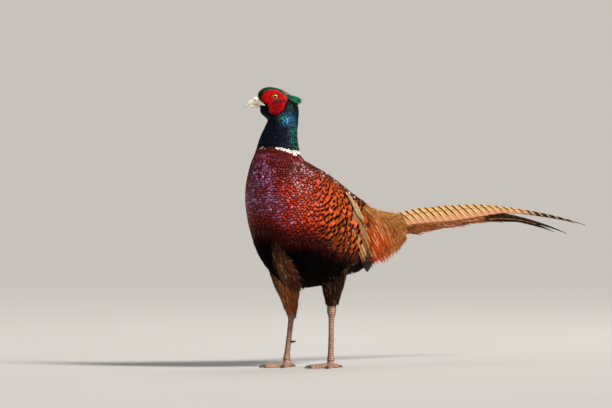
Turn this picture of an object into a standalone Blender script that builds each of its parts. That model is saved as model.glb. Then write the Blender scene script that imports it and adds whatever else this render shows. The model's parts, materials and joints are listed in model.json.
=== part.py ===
"""Common pheasant cock, life size, standing with its head turned to its right.

Units are metres. The bird faces -Y, its left side is +X and +Z is up. It is modelled about a
point on the floor below the hips, and the root empty then moves it so that the world's
origin is the centre of the bottom of its box.
"""

import math

import bmesh
import bpy
from mathutils import Matrix, Vector

GAP = 0.0003  # left between pieces that touch
MM = 0.001

# Outline of the trunk from the tail root to the top of the neck, in millimetres: the back's
# place (y, z), the belly's place (y, z) and half the width.
TRUNK = [
    (183, 217, 184, 187, 16),
    (160, 219, 158, 173, 27),
    (130, 224, 126, 160, 38),
    (98, 236, 94, 147, 49),
    (68, 255, 56, 131, 58),
    (38, 274, 14, 118, 63.5),
    (12, 288, -34, 118, 65),
    (-10, 297, -70, 142, 63.5),
    (-24, 303, -93, 179, 59),
    (-32, 307, -108, 221, 52.5),
    (-36, 311, -112, 258, 45.5),
    (-37, 315, -107, 293, 38),
    (-36.5, 319, -98.5, 319, 31),
    (-38, 337, -92, 336, 27),
    (-35, 360, -78, 360, 21.8),
]
COLLAR = 12  # the key of the trunk where torso and neck part
RING_SIDES = 24
RINGS_A_KEY = 2

# The head, in its own frame: the nape and crown's place (y, z), the throat and chin's
# place (y, z) and half the width, in millimetres. Its origin is below the neck's top.
HEAD = [
    (22, 0.3, -21.5, 0.5, 21.5),
    (22.9, 10.5, -24, 1.5, 20),
    (21, 22, -26, 3, 18.5),
    (15.5, 32, -28, 5, 17),
    (5, 40.2, -30, 6.8, 16.2),
    (-8, 45.6, -32, 8.6, 15.6),
    (-20, 47.4, -33.2, 10.6, 14.2),
    (-29, 45.4, -33.6, 12.6, 12.2),
    (-35, 40.6, -33.8, 14.4, 9.6),
    (-38, 34.8, -34, 16.4, 7.8),
]
HEAD_TURN = math.radians(-45)
NECK_TOP = Vector((0, -56.5, 360)) * MM

UPPER_BILL = [
    (-38.3, 34.0, -35.7, 22.4, 7.6),
    (-44, 31.5, -41.5, 21.4, 6.4),
    (-50, 27.3, -48, 20.4, 4.8),
    (-55, 21.3, -53.2, 18.2, 3.0),
    (-58.3, 15.2, -57.3, 14.4, 0.9),
]
LOWER_BILL = [
    (-35.6, 21.9, -34.5, 16.7, 6.8),
    (-41.5, 20.9, -41, 16.0, 5.6),
    (-47.5, 19.9, -47.5, 16.2, 4.0),
    (-52, 17.8, -51.8, 15.9, 1.8),
]
BILL_SIDES = 14
NOSTRIL = Vector((5.4, -40.2, 28.0)) * MM
NOSTRIL_SIZE = Vector((1.6, 2.6, 1.0)) * MM

EYE = Vector((9.9, -11.5, 32.6)) * MM
EYE_RADIUS = 5.6 * MM
EYE_OPENING = 4.7 * MM

# How far the red wattle reaches from the eye, in millimetres, for each angle in degrees
# from straight ahead, upwards.
WATTLE_REACH = {
    0: 20.5, 20: 18, 45: 14.5, 68: 11.4, 90: 10.4, 130: 9.8, 160: 11.5, 188: 18.5, 212: 17.2,
    243: 22.0, 268: 25.4, 288: 24.2, 303: 17.8, 318: 14.4, 340: 20,
}
# Its folds, from the rim at the eye to the outer edge: share of that reach and height above
# the face in millimetres, beside the eye and on the lobe below it.
WATTLE_FOLDS = (
    (0.0, 1.3, 1.3), (0.12, 2.0, 2.1), (0.3, 1.3, 1.4), (0.55, 2.0, 1.9), (0.8, 2.0, 3.1),
    (0.94, 1.7, 2.4), (1.0, 0.8, 0.8),
)
LOBE = (218, 306)  # degrees between which the lobe lies
WATTLE_SIDES = 26

EAR_TUFT_ROOT = Vector((9.3, 8.5, 31.6)) * MM
EAR_TUFT_LENGTH = 23 * MM
EAR_TUFT_VANES = 5

HIP_X = 40
# Each leg from hip to hock in millimetres: x outwards, y, z, then half the width across
# and along the bird. The bird's right leg stands a little ahead.
THIGH_LEFT = [
    (35, 8, 166, 18, 31), (36, 8, 143, 19, 26), (35.5, 9, 121, 15.5, 18.5),
    (34.5, 10, 104, 10.8, 12.4), (33.5, 10, 91, 7.8, 9), (33, 10, 84, 6.4, 7.2),
]
THIGH_RIGHT = [
    (36, -14, 166, 18, 33), (36.5, -14, 143, 20, 29), (36, -11, 119, 17, 21),
    (34.5, -8, 101, 12, 14.4), (33.5, -6, 87, 8.4, 9.6), (33, -5, 79.5, 6.6, 7.4),
]
SHANK_ENDS_LEFT = (Vector((33, 10, 83.6)) * MM, Vector((33, 8, 11.8)) * MM)
SHANK_ENDS_RIGHT = (Vector((33, -5, 79.1)) * MM, Vector((33, -16, 11.8)) * MM)
SHANK_RADIUS = 3.7 * MM
HOCK_RADIUS = 6.2 * MM
SHANK_SCUTES = 11
SHANK_SIDES = 12
SPUR_LENGTH = 11 * MM

# Each toe: its heading in degrees outwards from straight ahead, its length without the
# claw and its claw's length, in millimetres.
TOES = {
    "inner": (-36, 30, 8.5),
    "middle": (2, 43, 10),
    "outer": (38, 32, 8),
    "hind": (172, 15, 7),
}
TOE_SIDES = 10

# The tail: the ridge of the closed fan rises to its crest and falls to its tip.
TAIL_ROOT = Vector((0, 187, 217)) * MM
RIDGE_CREST = Vector((0, 330, 235)) * MM
RIDGE_BEND = 0.51  # fall of the ridge per square metre of distance from the crest
TAIL_PITCH = math.radians(56)
TAIL_LAYER = 1.25 * MM
TAIL_LENGTHS = [387, 345, 262, 205, 160, 126, 98, 76, 58]
TAIL_DROOPS = [0, 17, 9, 8, 7, 6, 5, 4, 3]
TAIL_WIDTHS = [30, 29, 27, 25, 23, 21, 19, 18, 17]
VANE_THICKNESS = 0.65 * MM

# The folded wing, in trunk keys and degrees round the trunk from the back.
WING_BEND = (8.2, 76)
WING_ELBOW = (6.7, 34)
PRIMARY_TIP = (4.35, 127)
TERTIAL_TIP = (3.0, 47)
FLIGHT_VANES = 10
WING_SIDES = 5
SHINGLE = 0.2


def spline(keys, place):
    """The tuple at a place, counted in keys, on a smooth curve through the keys."""
    first = min(max(int(place), 0), len(keys) - 2)
    f = place - first
    a, b, c, d = (keys[min(max(first + i, 0), len(keys) - 1)] for i in (-1, 0, 1, 2))
    return tuple(
        0.5 * (2 * q + (r - p) * f + (2 * p - 5 * q + 4 * r - s) * f * f + (3 * q - p - 3 * r + s) * f**3)
        for p, q, r, s in zip(a, b, c, d)
    )


def skin_point(keys, place, angle):
    """The point on a lofted form at a place along its keys and an angle from its back."""
    back_y, back_z, belly_y, belly_z, half = (v * MM for v in spline(keys, place))
    middle = Vector((0, (back_y + belly_y) / 2, (back_z + belly_z) / 2))
    rise = Vector((0, (back_y - belly_y) / 2, (back_z - belly_z) / 2))
    return middle + rise * math.cos(angle) + Vector((half * math.sin(angle), 0, 0))


def skin_normal(keys, place, angle):
    """The outward direction of a lofted form at a place and angle."""
    step = 0.02
    along = skin_point(keys, place + step, angle) - skin_point(keys, place - step, angle)
    round_ = skin_point(keys, place, angle + step) - skin_point(keys, place, angle - step)
    return along.cross(round_).normalized()


def ring(keys, place, sides, lift=0.0):
    """One ring of a lofted form, optionally lifted off its surface."""
    points = []
    for i in range(sides):
        angle = 2 * math.pi * i / sides
        point = skin_point(keys, place, angle)
        if lift:
            point += skin_normal(keys, place, angle) * lift
        points.append(point)
    return points


def flat_ring(centre, across, along, sides, turn=None):
    """An ellipse of points about a centre, level unless it is turned."""
    points = []
    for i in range(sides):
        angle = 2 * math.pi * i / sides
        offset = Vector((across * math.sin(angle), along * math.cos(angle), 0))
        points.append(centre + (turn @ offset if turn else offset))
    return points


def loft(name, rings, links):
    """A closed mesh object through rings with the same number of points."""
    mesh = bmesh.new()
    loops = [[mesh.verts.new(point) for point in points] for points in rings]
    sides = len(rings[0])
    for lower, upper in zip(loops, loops[1:]):
        for i in range(sides):
            j = (i + 1) % sides
            mesh.faces.new((lower[i], lower[j], upper[j], upper[i]))
    mesh.faces.new(loops[0])
    mesh.faces.new(loops[-1])
    bmesh.ops.recalc_face_normals(mesh, faces=mesh.faces)
    return object_from(name, mesh, links)


def object_from(name, mesh, links):
    """A linked object that takes a finished bmesh."""
    data = bpy.data.meshes.new(name)
    mesh.to_mesh(data)
    mesh.free()
    data.shade_smooth()
    made = bpy.data.objects.new(name, data)
    links.objects.link(made)
    return made


def ball(name, centre, size, links, detail=12):
    """An ellipsoid from a sphere primitive."""
    mesh = bmesh.new()
    bmesh.ops.create_uvsphere(mesh, u_segments=detail, v_segments=max(6, detail // 2), radius=1)
    bmesh.ops.scale(mesh, vec=size, verts=mesh.verts)
    bmesh.ops.translate(mesh, vec=centre, verts=mesh.verts)
    return object_from(name, mesh, links)


def boolean(target, operation, others, solver="EXACT"):
    """Applies a Boolean of the target with closed mesh objects, and removes those objects."""
    helpers = bpy.data.collections.new("helpers")
    bpy.context.scene.collection.children.link(helpers)
    for other in others:
        for home in list(other.users_collection):
            home.objects.unlink(other)
        helpers.objects.link(other)
    modifier = target.modifiers.new("join", "BOOLEAN")
    modifier.operation = operation
    modifier.operand_type = "COLLECTION"
    modifier.collection = helpers
    modifier.solver = solver
    graph = bpy.context.evaluated_depsgraph_get()
    done = bpy.data.meshes.new_from_object(target.evaluated_get(graph))
    target.modifiers.clear()
    target.data = done
    for other in others:
        bpy.data.objects.remove(other)
    bpy.data.collections.remove(helpers)
    keep_largest(target)


def keep_largest(target):
    """Drops every loose surface but the largest, and closes up slivers."""
    mesh = bmesh.new()
    mesh.from_mesh(target.data)
    bmesh.ops.triangulate(mesh, faces=mesh.faces)
    islands = []
    left = set(mesh.faces)
    while left:
        stack = [left.pop()]
        island = list(stack)
        while stack:
            for edge in stack.pop().edges:
                for face in edge.link_faces:
                    if face in left:
                        left.remove(face)
                        stack.append(face)
                        island.append(face)
        islands.append(island)
    islands.sort(key=lambda faces: sum(face.calc_area() for face in faces))
    spare = [face for island in islands[:-1] for face in island]
    bmesh.ops.delete(mesh, geom=spare, context="FACES")
    mesh.to_mesh(target.data)
    mesh.free()


def fatter(keys, first, last, links, lift=GAP + 0.1 * MM):
    """A lofted form made fatter by the gap, to cut its neighbours to its shape."""
    count = (last - first) * RINGS_A_KEY
    places = [first + (last - first) * i / count for i in range(count + 1)]
    return loft("cutter", [ring(keys, place, RING_SIDES, lift) for place in places], links)


def make_trunk(parts):
    """Torso and neck, one form parted by a thin cut at the collar."""
    count = COLLAR * RINGS_A_KEY
    rings = [ring(TRUNK, COLLAR * i / count, RING_SIDES) for i in range(count + 1)]
    torso = loft("torso", rings, parts)
    top = len(TRUNK) - 1
    count = (top - COLLAR) * 3
    rings = [ring(TRUNK, COLLAR + (top - COLLAR) * i / count, RING_SIDES) for i in range(count + 1)]
    rings[0] = [point + Vector((0, 0, GAP)) for point in rings[0]]
    neck = loft("neck", rings, parts)
    return torso, neck


def tuft_vane(name, index, side, links):
    """One narrow vane of an ear tuft, in the head's frame."""
    spread = (index / (EAR_TUFT_VANES - 1) - 0.5) * 2
    root = Vector((side * (EAR_TUFT_ROOT.x - 1.4 * MM * spread), EAR_TUFT_ROOT.y, EAR_TUFT_ROOT.z + 2.2 * MM * spread))
    heading = Vector((side * (0.24 - 0.06 * spread), 1, -0.2 + 0.12 * spread)).normalized()
    length = EAR_TUFT_LENGTH * (1 - 0.12 * abs(spread))
    rings = []
    for t, half in ((-0.25, 1.5), (0.15, 1.9), (0.5, 1.7), (0.8, 1.1), (1.0, 0.3)):
        centre = root + heading * (length * t) + Vector((0, 0, -3.0 * MM * max(t, 0) ** 2))
        turn = Vector((0, 0, 1)).rotation_difference(heading).to_matrix()
        rings.append(flat_ring(centre, half * 0.75 * MM, half * MM, 6, turn))
    return loft(name, rings, links)


def make_head(parts, frame):
    """Head with ear tufts and eye sockets."""
    top = len(HEAD) - 1
    count = top * RINGS_A_KEY
    head = loft("head", [ring(HEAD, top * i / count, RING_SIDES) for i in range(count + 1)], parts)
    tufts = [tuft_vane("tuft", i, side, parts) for side in (1, -1) for i in range(EAR_TUFT_VANES)]
    boolean(head, "UNION", tufts)
    socket = EYE_RADIUS + GAP
    sockets = [
        ball("socket", Vector((side * EYE.x, EYE.y, EYE.z)), Vector((socket,) * 3), parts, 16)
        for side in (1, -1)
    ]
    boolean(head, "DIFFERENCE", sockets)
    head.data.transform(frame)
    return head


def make_eye(name, side, parts, frame):
    """Eyeball."""
    eye = ball(name, Vector((side * EYE.x, EYE.y, EYE.z)), Vector((EYE_RADIUS,) * 3), parts, 16)
    eye.data.transform(frame)
    return eye


def face_depth(y, z):
    """How far the side of the head stands out at a place in the head's frame, or None."""
    best = None
    top = len(HEAD) - 1
    for i in range(0, top * 24 + 1):
        place = i / 24
        back_y, back_z, belly_y, belly_z, half = (v * MM for v in spline(HEAD, place))
        rise = Vector((0, (back_y - belly_y) / 2, (back_z - belly_z) / 2))
        middle = Vector((0, (back_y + belly_y) / 2, (back_z + belly_z) / 2))
        offset = Vector((0, y, z)) - middle
        normal = Vector((0, -rise.z, rise.y)).normalized()
        away = abs(offset.dot(normal))
        share = offset.dot(rise) / rise.length_squared
        if abs(share) < 1 and (best is None or away < best[0]):
            best = (away, half * math.sqrt(1 - share * share))
    return best[1] if best and best[0] < 1.5 * MM else None


def wattle_reach(angle):
    """How far the wattle reaches from the eye at an angle in degrees."""
    marks = sorted(WATTLE_REACH)
    marks = [mark - 360 for mark in marks[-2:]] + marks + [mark + 360 for mark in marks[:2]]
    reaches = [WATTLE_REACH[mark % 360] for mark in marks]
    i = max(j for j, mark in enumerate(marks) if mark <= angle)
    f = (angle - marks[i]) / (marks[i + 1] - marks[i])
    f = f * f * (3 - 2 * f)
    return (reaches[i] + (reaches[i + 1] - reaches[i]) * f) * MM


def make_wattle(name, side, parts, frame):
    """Red face wattle: a raised rim round the eye, and a plump lobe below it."""
    outer, inner = [], []
    for share, beside, below in WATTLE_FOLDS:
        over, under = [], []
        for i in range(WATTLE_SIDES):
            degrees = 360 * i / WATTLE_SIDES
            angle = math.radians(degrees)
            reach = EYE_OPENING + (wattle_reach(degrees) - EYE_OPENING) * share
            y = EYE.y - reach * math.cos(angle)
            z = EYE.z + reach * math.sin(angle)
            depth = face_depth(y, z)
            lobe = max(0.0, math.sin(math.pi * (degrees - LOBE[0]) / (LOBE[1] - LOBE[0]))) if (
                LOBE[0] < degrees < LOBE[1]) else 0.0
            bulb = 0.25 * math.sin(5.1 * i) * math.sin(math.pi * share)
            lift = beside + (below - beside) * math.sqrt(lobe) + bulb
            under.append(Vector((depth - 1.0 * MM, y, z)))
            over.append(Vector((depth + GAP + lift * MM, y, z)))
        outer.append(over)
        inner.append(under)
    mesh = bmesh.new()
    loops = [[mesh.verts.new(point) for point in points] for points in outer + inner[::-1]]
    for a, b in zip(loops, loops[1:] + loops[:1]):
        for i in range(WATTLE_SIDES):
            j = (i + 1) % WATTLE_SIDES
            mesh.faces.new((a[i], a[j], b[j], b[i]))
    if side < 0:
        bmesh.ops.scale(mesh, vec=(-1, 1, 1), verts=mesh.verts)
    bmesh.ops.triangulate(mesh, faces=mesh.faces)
    bmesh.ops.recalc_face_normals(mesh, faces=mesh.faces)
    wattle = object_from(name, mesh, parts)
    socket = Vector((EYE_RADIUS + GAP,) * 3)
    cutters = [
        ball("socket", Vector((side * EYE.x, EYE.y, EYE.z)), socket, parts, 16),
        fatter(HEAD, 0, len(HEAD) - 1, parts),
    ]
    boolean(wattle, "DIFFERENCE", cutters)
    wattle.data.transform(frame)
    return wattle


def make_bill(parts, frame):
    """Upper and lower bill, parted along the line of the mouth."""
    made = []
    for name, keys in (("bill_upper", UPPER_BILL), ("bill_lower", LOWER_BILL)):
        count = (len(keys) - 1) * RINGS_A_KEY
        places = [(len(keys) - 1) * i / count for i in range(count + 1)]
        made.append(loft(name, [ring(keys, place, BILL_SIDES) for place in places], parts))
    nostrils = [
        ball("nostril", Vector((side * NOSTRIL.x, NOSTRIL.y, NOSTRIL.z)), NOSTRIL_SIZE, parts, 10)
        for side in (1, -1)
    ]
    boolean(made[0], "DIFFERENCE", nostrils)
    for piece in made:
        piece.data.transform(frame)
    return made


def make_thigh(name, side, keys, parts):
    """Feathered leg from the flank down to the hock, cut to the trunk's shape."""
    rings = []
    count = (len(keys) - 1) * RINGS_A_KEY
    for i in range(count + 1):
        x, y, z, across, along = (v * MM for v in spline(keys, (len(keys) - 1) * i / count))
        rings.append(flat_ring(Vector((side * x, y, z)), across, along, 16))
    thigh = loft(name, rings, parts)
    boolean(thigh, "DIFFERENCE", [fatter(TRUNK, 1, COLLAR, parts)])
    return thigh


def make_shank(name, side, ends, parts):
    """Bare shank with a knobbed hock, and scutes as steps in its own surface."""
    hock, foot = (Vector((side * end.x, end.y, end.z)) for end in ends)
    heading = (foot - hock).normalized()
    turn = Vector((0, 0, -1)).rotation_difference(heading).to_matrix()
    length = (foot - hock).length
    rings = [
        flat_ring(hock, HOCK_RADIUS, HOCK_RADIUS * 1.12, SHANK_SIDES),
        flat_ring(hock + heading * 0.07 * length, HOCK_RADIUS, HOCK_RADIUS * 1.1, SHANK_SIDES, turn),
    ]
    first = 0.2
    for i in range(SHANK_SCUTES):
        for share, grow in ((0.08, 1.0), (0.92, 1.09)):
            t = first + (1 - first) * (i + share) / SHANK_SCUTES
            taper = 1.06 - 0.1 * math.sin(math.pi * t)
            radius = SHANK_RADIUS * taper * grow
            rings.append(flat_ring(hock + heading * t * length, radius, radius * 1.12, SHANK_SIDES, turn))
    return loft(name, rings, parts), foot, heading


def make_spur(name, side, ends, parts):
    """Horny spur on the inner back of the shank."""
    hock, foot = (Vector((side * end.x, end.y, end.z)) for end in ends)
    heading = (foot - hock).normalized()
    centre = hock + heading * 0.62 * (foot - hock).length
    out = Vector((-side * 0.45, 1, 0.0)).normalized()
    out = (out - heading * out.dot(heading)).normalized()
    turn = Vector((0, 0, 1)).rotation_difference(out).to_matrix()
    rings = []
    for t, radius in ((0, 2.6), (0.3, 2.1), (0.65, 1.3), (1, 0.3)):
        place = centre + out * (1.5 * MM + SPUR_LENGTH * t) + Vector((0, 0, 2.4 * MM * t * t))
        rings.append(flat_ring(place, radius * MM, radius * MM, 10, turn))
    spur = loft(name, rings, parts)
    spare = GAP + 0.15 * MM
    sleeve = [
        flat_ring(hock + heading * t * (foot - hock).length, SHANK_RADIUS * 1.16 + spare,
                  (SHANK_RADIUS * 1.16) * 1.12 + spare, SHANK_SIDES,
                  Vector((0, 0, -1)).rotation_difference(heading).to_matrix())
        for t in (0.3, 0.95)
    ]
    boolean(spur, "DIFFERENCE", [loft("sleeve", sleeve, parts)])
    return spur


def toe_path(start, degrees, side, length, share):
    """The middle of a toe at a share of its length, and its heading."""
    angle = math.radians(degrees)
    heading = Vector((side * math.sin(angle), -math.cos(angle), 0))
    height = 3.1 * MM + 2.5 * MM * max(0.0, 1 - share * length / (13 * MM)) ** 2 - 0.9 * MM * share
    place = start + heading * (share * length)
    return Vector((place.x, place.y, height)), heading


def make_foot(name, side, joint, heading, parts):
    """Four toes joined at the foot, with pads below and flat soles on the floor."""
    ground = Vector((joint.x, joint.y, 0))
    top = joint + heading * GAP
    turn = Vector((0, 0, -1)).rotation_difference(heading).to_matrix()
    hub = [
        flat_ring(top, 4.3 * MM, 4.8 * MM, TOE_SIDES, turn),
        flat_ring(Vector((ground.x, ground.y, 6 * MM)), 5.4 * MM, 6.4 * MM, TOE_SIDES),
        flat_ring(Vector((ground.x, ground.y - 1 * MM, 2 * MM)), 5.2 * MM, 6.2 * MM, TOE_SIDES),
        flat_ring(Vector((ground.x, ground.y - 1 * MM, 0)), 3.8 * MM, 4.6 * MM, TOE_SIDES),
    ]
    foot = loft(name, hub, parts)
    toes = []
    claws = []
    for toe, (degrees, length, claw) in TOES.items():
        rings = []
        stations = 9 if length > 20 else 5
        for i in range(stations):
            share = i / (stations - 1)
            centre, ahead = toe_path(ground, degrees, side, length * MM, share)
            pad = 1.0 + (0.13 if i % 2 else -0.03)
            radius = (4.1 - 1.6 * share) * MM * pad
            yaw = math.atan2(ahead.x, -ahead.y)
            turn = Matrix.Rotation(yaw, 3, "Z") @ Matrix.Rotation(math.radians(90), 3, "X")
            points = flat_ring(centre, radius, radius * 1.02, TOE_SIDES, turn)
            rings.append([Vector((p.x, p.y, max(p.z, 0.0))) for p in points])
        toes.append(loft("toe", rings, parts))
        claws.append(make_claw(f"claw_{toe}_{name[5:]}", ground, degrees, side, length * MM, claw * MM, parts))
    boolean(foot, "UNION", toes)
    return foot, claws


def make_claw(name, ground, degrees, side, toe_length, length, parts):
    """A tapered claw that curves down to just above the floor."""
    tip, ahead = toe_path(ground, degrees, side, toe_length, 1)
    yaw = math.atan2(ahead.x, -ahead.y)
    turn = Matrix.Rotation(yaw, 3, "Z") @ Matrix.Rotation(math.radians(90), 3, "X")
    rings = []
    for t, radius in ((0, 2.0), (0.3, 1.75), (0.6, 1.25), (0.85, 0.7), (1, 0.25)):
        centre = tip + ahead * (GAP + length * t)
        centre.z = 2.25 * MM + 0.5 * MM * math.sin(math.pi * t) - 1.9 * MM * t * t
        points = flat_ring(centre, radius * MM * 0.85, radius * MM, 8, turn)
        rings.append([Vector((p.x, p.y, max(p.z, 0.1 * MM))) for p in points])
    return loft(name, rings, parts)


def ridge(y):
    """Height of the tail's ridge at a place along the bird."""
    return RIDGE_CREST.z - RIDGE_BEND * (y - RIDGE_CREST.y) ** 2


def tail_vane(layer, side, links):
    """One tail feather, a blade in the sloping plane of its layer."""
    down = Vector((side * math.cos(TAIL_PITCH), 0, -math.sin(TAIL_PITCH)))
    out = Vector((side * math.sin(TAIL_PITCH), 0, math.cos(TAIL_PITCH)))
    inner = 0.9 * MM + 1.75 * MM * layer
    wide = TAIL_WIDTHS[layer] * MM
    length = TAIL_LENGTHS[layer] * MM - (14 * MM if side < 0 and layer < 3 else 0)
    start = TAIL_ROOT.y + 6 * MM
    rings = []
    stations = (0, 0.15, 0.34, 0.55, 0.75, 0.91, 1)
    for t in stations:
        y = start + length * t
        sink = TAIL_DROOPS[layer] * MM * t**2.5
        narrow = (1 - t**2.6) * (0.62 + 0.38 * math.sin(math.pi * min(1, t * 1.6 + 0.15)))
        width = max(wide * narrow, 1.6 * MM * (1.15 - t))
        thick = VANE_THICKNESS * (1 if t < 0.95 else 0.7)
        spine = Vector((0, y, ridge(y) - sink)) - out * TAIL_LAYER * layer
        edge = spine + down * (inner + (wide * 0.82 - width) * 0.28)
        points = []
        for share, rise in ((0, 0), (0.45, 1), (1, 0)):
            points.append(edge + down * width * share + out * (rise * 0.25 * MM))
        rings.append(points + [point - out * thick for point in points[::-1]])
    return loft("vane", rings, links)


def make_tail(parts):
    """Eighteen graduated feathers under a core of tail coverts."""
    rings = []
    for t, across, rise, drop in ((0, 15, 1, 30), (0.3, 17, 2, 31), (0.6, 15, 1.5, 27), (0.85, 10, 0, 21), (1, 6, -3, 15)):
        y = TAIL_ROOT.y + GAP + 62 * MM * t
        top, base = ridge(y) + (rise - 3) * MM, ridge(y) - drop * MM
        middle = Vector((0, y, (top + base) / 2))
        upright = Matrix.Rotation(math.radians(90), 3, "X")
        rings.append(flat_ring(middle, across * MM, (top - base) / 2, 16, upright))
    tail = loft("tail", rings, parts)
    vanes = [tail_vane(layer, side, parts) for side in (1, -1) for layer in range(len(TAIL_LENGTHS))]
    boolean(tail, "UNION", vanes)
    return tail


def wing_vane(root, tip, side, half, lift, spread, links, bow=0.0):
    """One feather of the folded wing, laid on the trunk and shingled over its neighbour.

    root and tip are places in trunk keys and degrees round the trunk. spread lifts the tip.
    """
    stations = (0, 0.28, 0.58, 0.8, 0.94, 1)
    rings = []
    path = []
    for t in stations:
        place = root[0] + (tip[0] - root[0]) * t
        angle = math.radians(root[1] + (tip[1] - root[1]) * t + bow * math.sin(math.pi * t))
        normal = skin_normal(TRUNK, place, angle)
        path.append((skin_point(TRUNK, place, angle) + normal * (lift + spread * t * t), normal))
    for i, t in enumerate(stations):
        point, normal = path[i]
        ahead = (path[min(i + 1, len(path) - 1)][0] - path[max(i - 1, 0)][0]).normalized()
        across = ahead.cross(normal).normalized()
        narrow = math.sqrt(max(0.0, 1 - ((t - 0.55) / 0.47) ** 2)) if t > 0.55 else 0.7 + 0.3 * t / 0.55
        width = max(half * narrow, 0.8 * MM)
        points = []
        for q in (-1, 0, 1):
            offset = across * q * width
            points.append(point + offset + normal * (SHINGLE * q * width - (q * width) ** 2 / 0.12))
        rings.append(points + [p - normal * VANE_THICKNESS for p in points[::-1]])
    vane = loft("vane", rings, links)
    if side < 0:
        vane.data.transform(Matrix.Scale(-1, 4, (1, 0, 0)))
        vane.data.flip_normals()
    return vane


def between(a, b, share):
    """A place between two others."""
    return tuple(p + (q - p) * share for p, q in zip(a, b))


def make_wing(name, side, parts):
    """Folded wing: flight feathers in one tier, two tiers of coverts above, on one core."""
    core_rings = []
    count = 8
    for i in range(count + 1):
        t = i / count
        place = WING_BEND[0] + 0.5 - 3.6 * t
        low = 88 + 16 * t
        high = 64 - 32 * math.sin(math.pi * min(1, t * 0.8 + 0.1))
        bulge = (2.0 + 4.2 * math.sin(math.pi * min(1, 0.12 + t * 0.8))) * MM
        over, under = [], []
        for j in range(WING_SIDES + 1):
            share = j / WING_SIDES
            angle = math.radians(high + (low - high) * share)
            normal = skin_normal(TRUNK, place, angle)
            point = skin_point(TRUNK, place, angle)
            swell = 0.35 + 0.65 * math.sin(math.pi * share)
            over.append(point + normal * bulge * swell)
            under.append(point - normal * 3 * MM)
        core_rings.append(over + under[::-1])
    core = loft(name, core_rings, parts)
    if side < 0:
        core.data.transform(Matrix.Scale(-1, 4, (1, 0, 0)))
        core.data.flip_normals()
    vanes = []
    for i in range(FLIGHT_VANES):
        share = i / (FLIGHT_VANES - 1)
        root = between(WING_BEND, WING_ELBOW, share)
        tip = between(PRIMARY_TIP, TERTIAL_TIP, share)
        tip = (tip[0] + 0.55 * math.sin(math.pi * share), tip[1])
        vanes.append(wing_vane(root, tip, side, 9.2 * MM, 2.4 * MM, 7 * MM * (1 - share), parts))
    for reach, lift, half, number in ((0.55, 4.4, 8.4, 6), (0.33, 6.2, 7.8, 5)):
        for i in range(number):
            share = (i + 0.3) / (number - 0.4)
            root = between(WING_BEND, WING_ELBOW, share)
            tip = between(root, between(PRIMARY_TIP, TERTIAL_TIP, share), reach)
            vanes.append(wing_vane(root, tip, side, half * MM, lift * MM, 0, parts))
    boolean(core, "UNION", vanes, "MANIFOLD")
    boolean(core, "DIFFERENCE", [fatter(TRUNK, 0, COLLAR, parts)], "MANIFOLD")
    return core


MATERIALS = {
    "breast": ((0.30, 0.05, 0.03), 0.45, 0.0),
    "neck": ((0.01, 0.04, 0.09), 0.3, 0.2),
    "wattle": ((0.70, 0.01, 0.01), 0.55, 0.0),
    "horn": ((0.80, 0.72, 0.56), 0.4, 0.0),
    "iris": ((0.75, 0.35, 0.04), 0.1, 0.0),
    "wing": ((0.42, 0.30, 0.18), 0.6, 0.0),
    "tail": ((0.58, 0.42, 0.22), 0.6, 0.0),
    "thigh": ((0.09, 0.04, 0.02), 0.7, 0.0),
    "leg": ((0.48, 0.36, 0.30), 0.6, 0.0),
    "claw": ((0.10, 0.08, 0.06), 0.4, 0.0),
}


def finish(name):
    """The material of a kind of surface, made once."""
    found = bpy.data.materials.get(name)
    if found:
        return found
    colour, roughness, metallic = MATERIALS[name]
    made = bpy.data.materials.new(name)
    made.use_nodes = True
    shader = made.node_tree.nodes["Principled BSDF"]
    shader.inputs["Base Color"].default_value = (*colour, 1)
    shader.inputs["Roughness"].default_value = roughness
    shader.inputs["Metallic"].default_value = metallic
    return made


def dress(material, *pieces):
    """Gives pieces one material."""
    for piece in pieces:
        piece.data.materials.clear()
        piece.data.materials.append(finish(material))


def stand_on_origin(parts):
    """Parents every piece to a root empty, placed so that the origin is below the box's centre."""
    corners = [piece.matrix_world @ vertex.co for piece in parts.objects for vertex in piece.data.vertices]
    low = [min(corner[axis] for corner in corners) for axis in range(3)]
    high = [max(corner[axis] for corner in corners) for axis in range(3)]
    root = bpy.data.objects.new("root", None)
    bpy.context.scene.collection.objects.link(root)
    root.location = (-(low[0] + high[0]) / 2, -(low[1] + high[1]) / 2, -low[2])
    for piece in parts.objects:
        piece.parent = root


def build():
    """The whole bird."""
    for old in list(bpy.data.objects):
        bpy.data.objects.remove(old)
    parts = bpy.data.collections.new("common_pheasant")
    bpy.context.scene.collection.children.link(parts)
    head_frame = Matrix.Translation(NECK_TOP) @ Matrix.Rotation(HEAD_TURN, 4, "Z")

    torso, neck = make_trunk(parts)
    dress("breast", torso)
    dress("neck", neck, make_head(parts, head_frame))
    dress("horn", *make_bill(parts, head_frame))
    dress("tail", make_tail(parts))
    legs = {
        "left": (1, THIGH_LEFT, SHANK_ENDS_LEFT),
        "right": (-1, THIGH_RIGHT, SHANK_ENDS_RIGHT),
    }
    for word, (side, thigh, ends) in legs.items():
        dress("iris", make_eye(f"eye_{word}", side, parts, head_frame))
        dress("wattle", make_wattle(f"wattle_{word}", side, parts, head_frame))
        dress("wing", make_wing(f"wing_{word}", side, parts))
        dress("thigh", make_thigh(f"thigh_{word}", side, thigh, parts))
        shank, joint, heading = make_shank(f"shank_{word}", side, ends, parts)
        foot, claws = make_foot(f"foot_{word}", side, joint, heading, parts)
        dress("leg", shank, foot)
        dress("claw", make_spur(f"spur_{word}", side, ends, parts), *claws)
    stand_on_origin(parts)


build()
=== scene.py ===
"""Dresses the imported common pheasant: skin, coats of feathers, eyes, bill, wattles and scaled legs.

The bird faces -Y, its left side is +X and +Z is up. Sizes in the tables are millimetres in the
bird's own frame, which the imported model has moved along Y; Bird.shift brings them into place.
"""
from __future__ import annotations

import json
import logging
import math
from dataclasses import dataclass, field
from enum import Enum
from typing import Callable, Sequence

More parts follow.
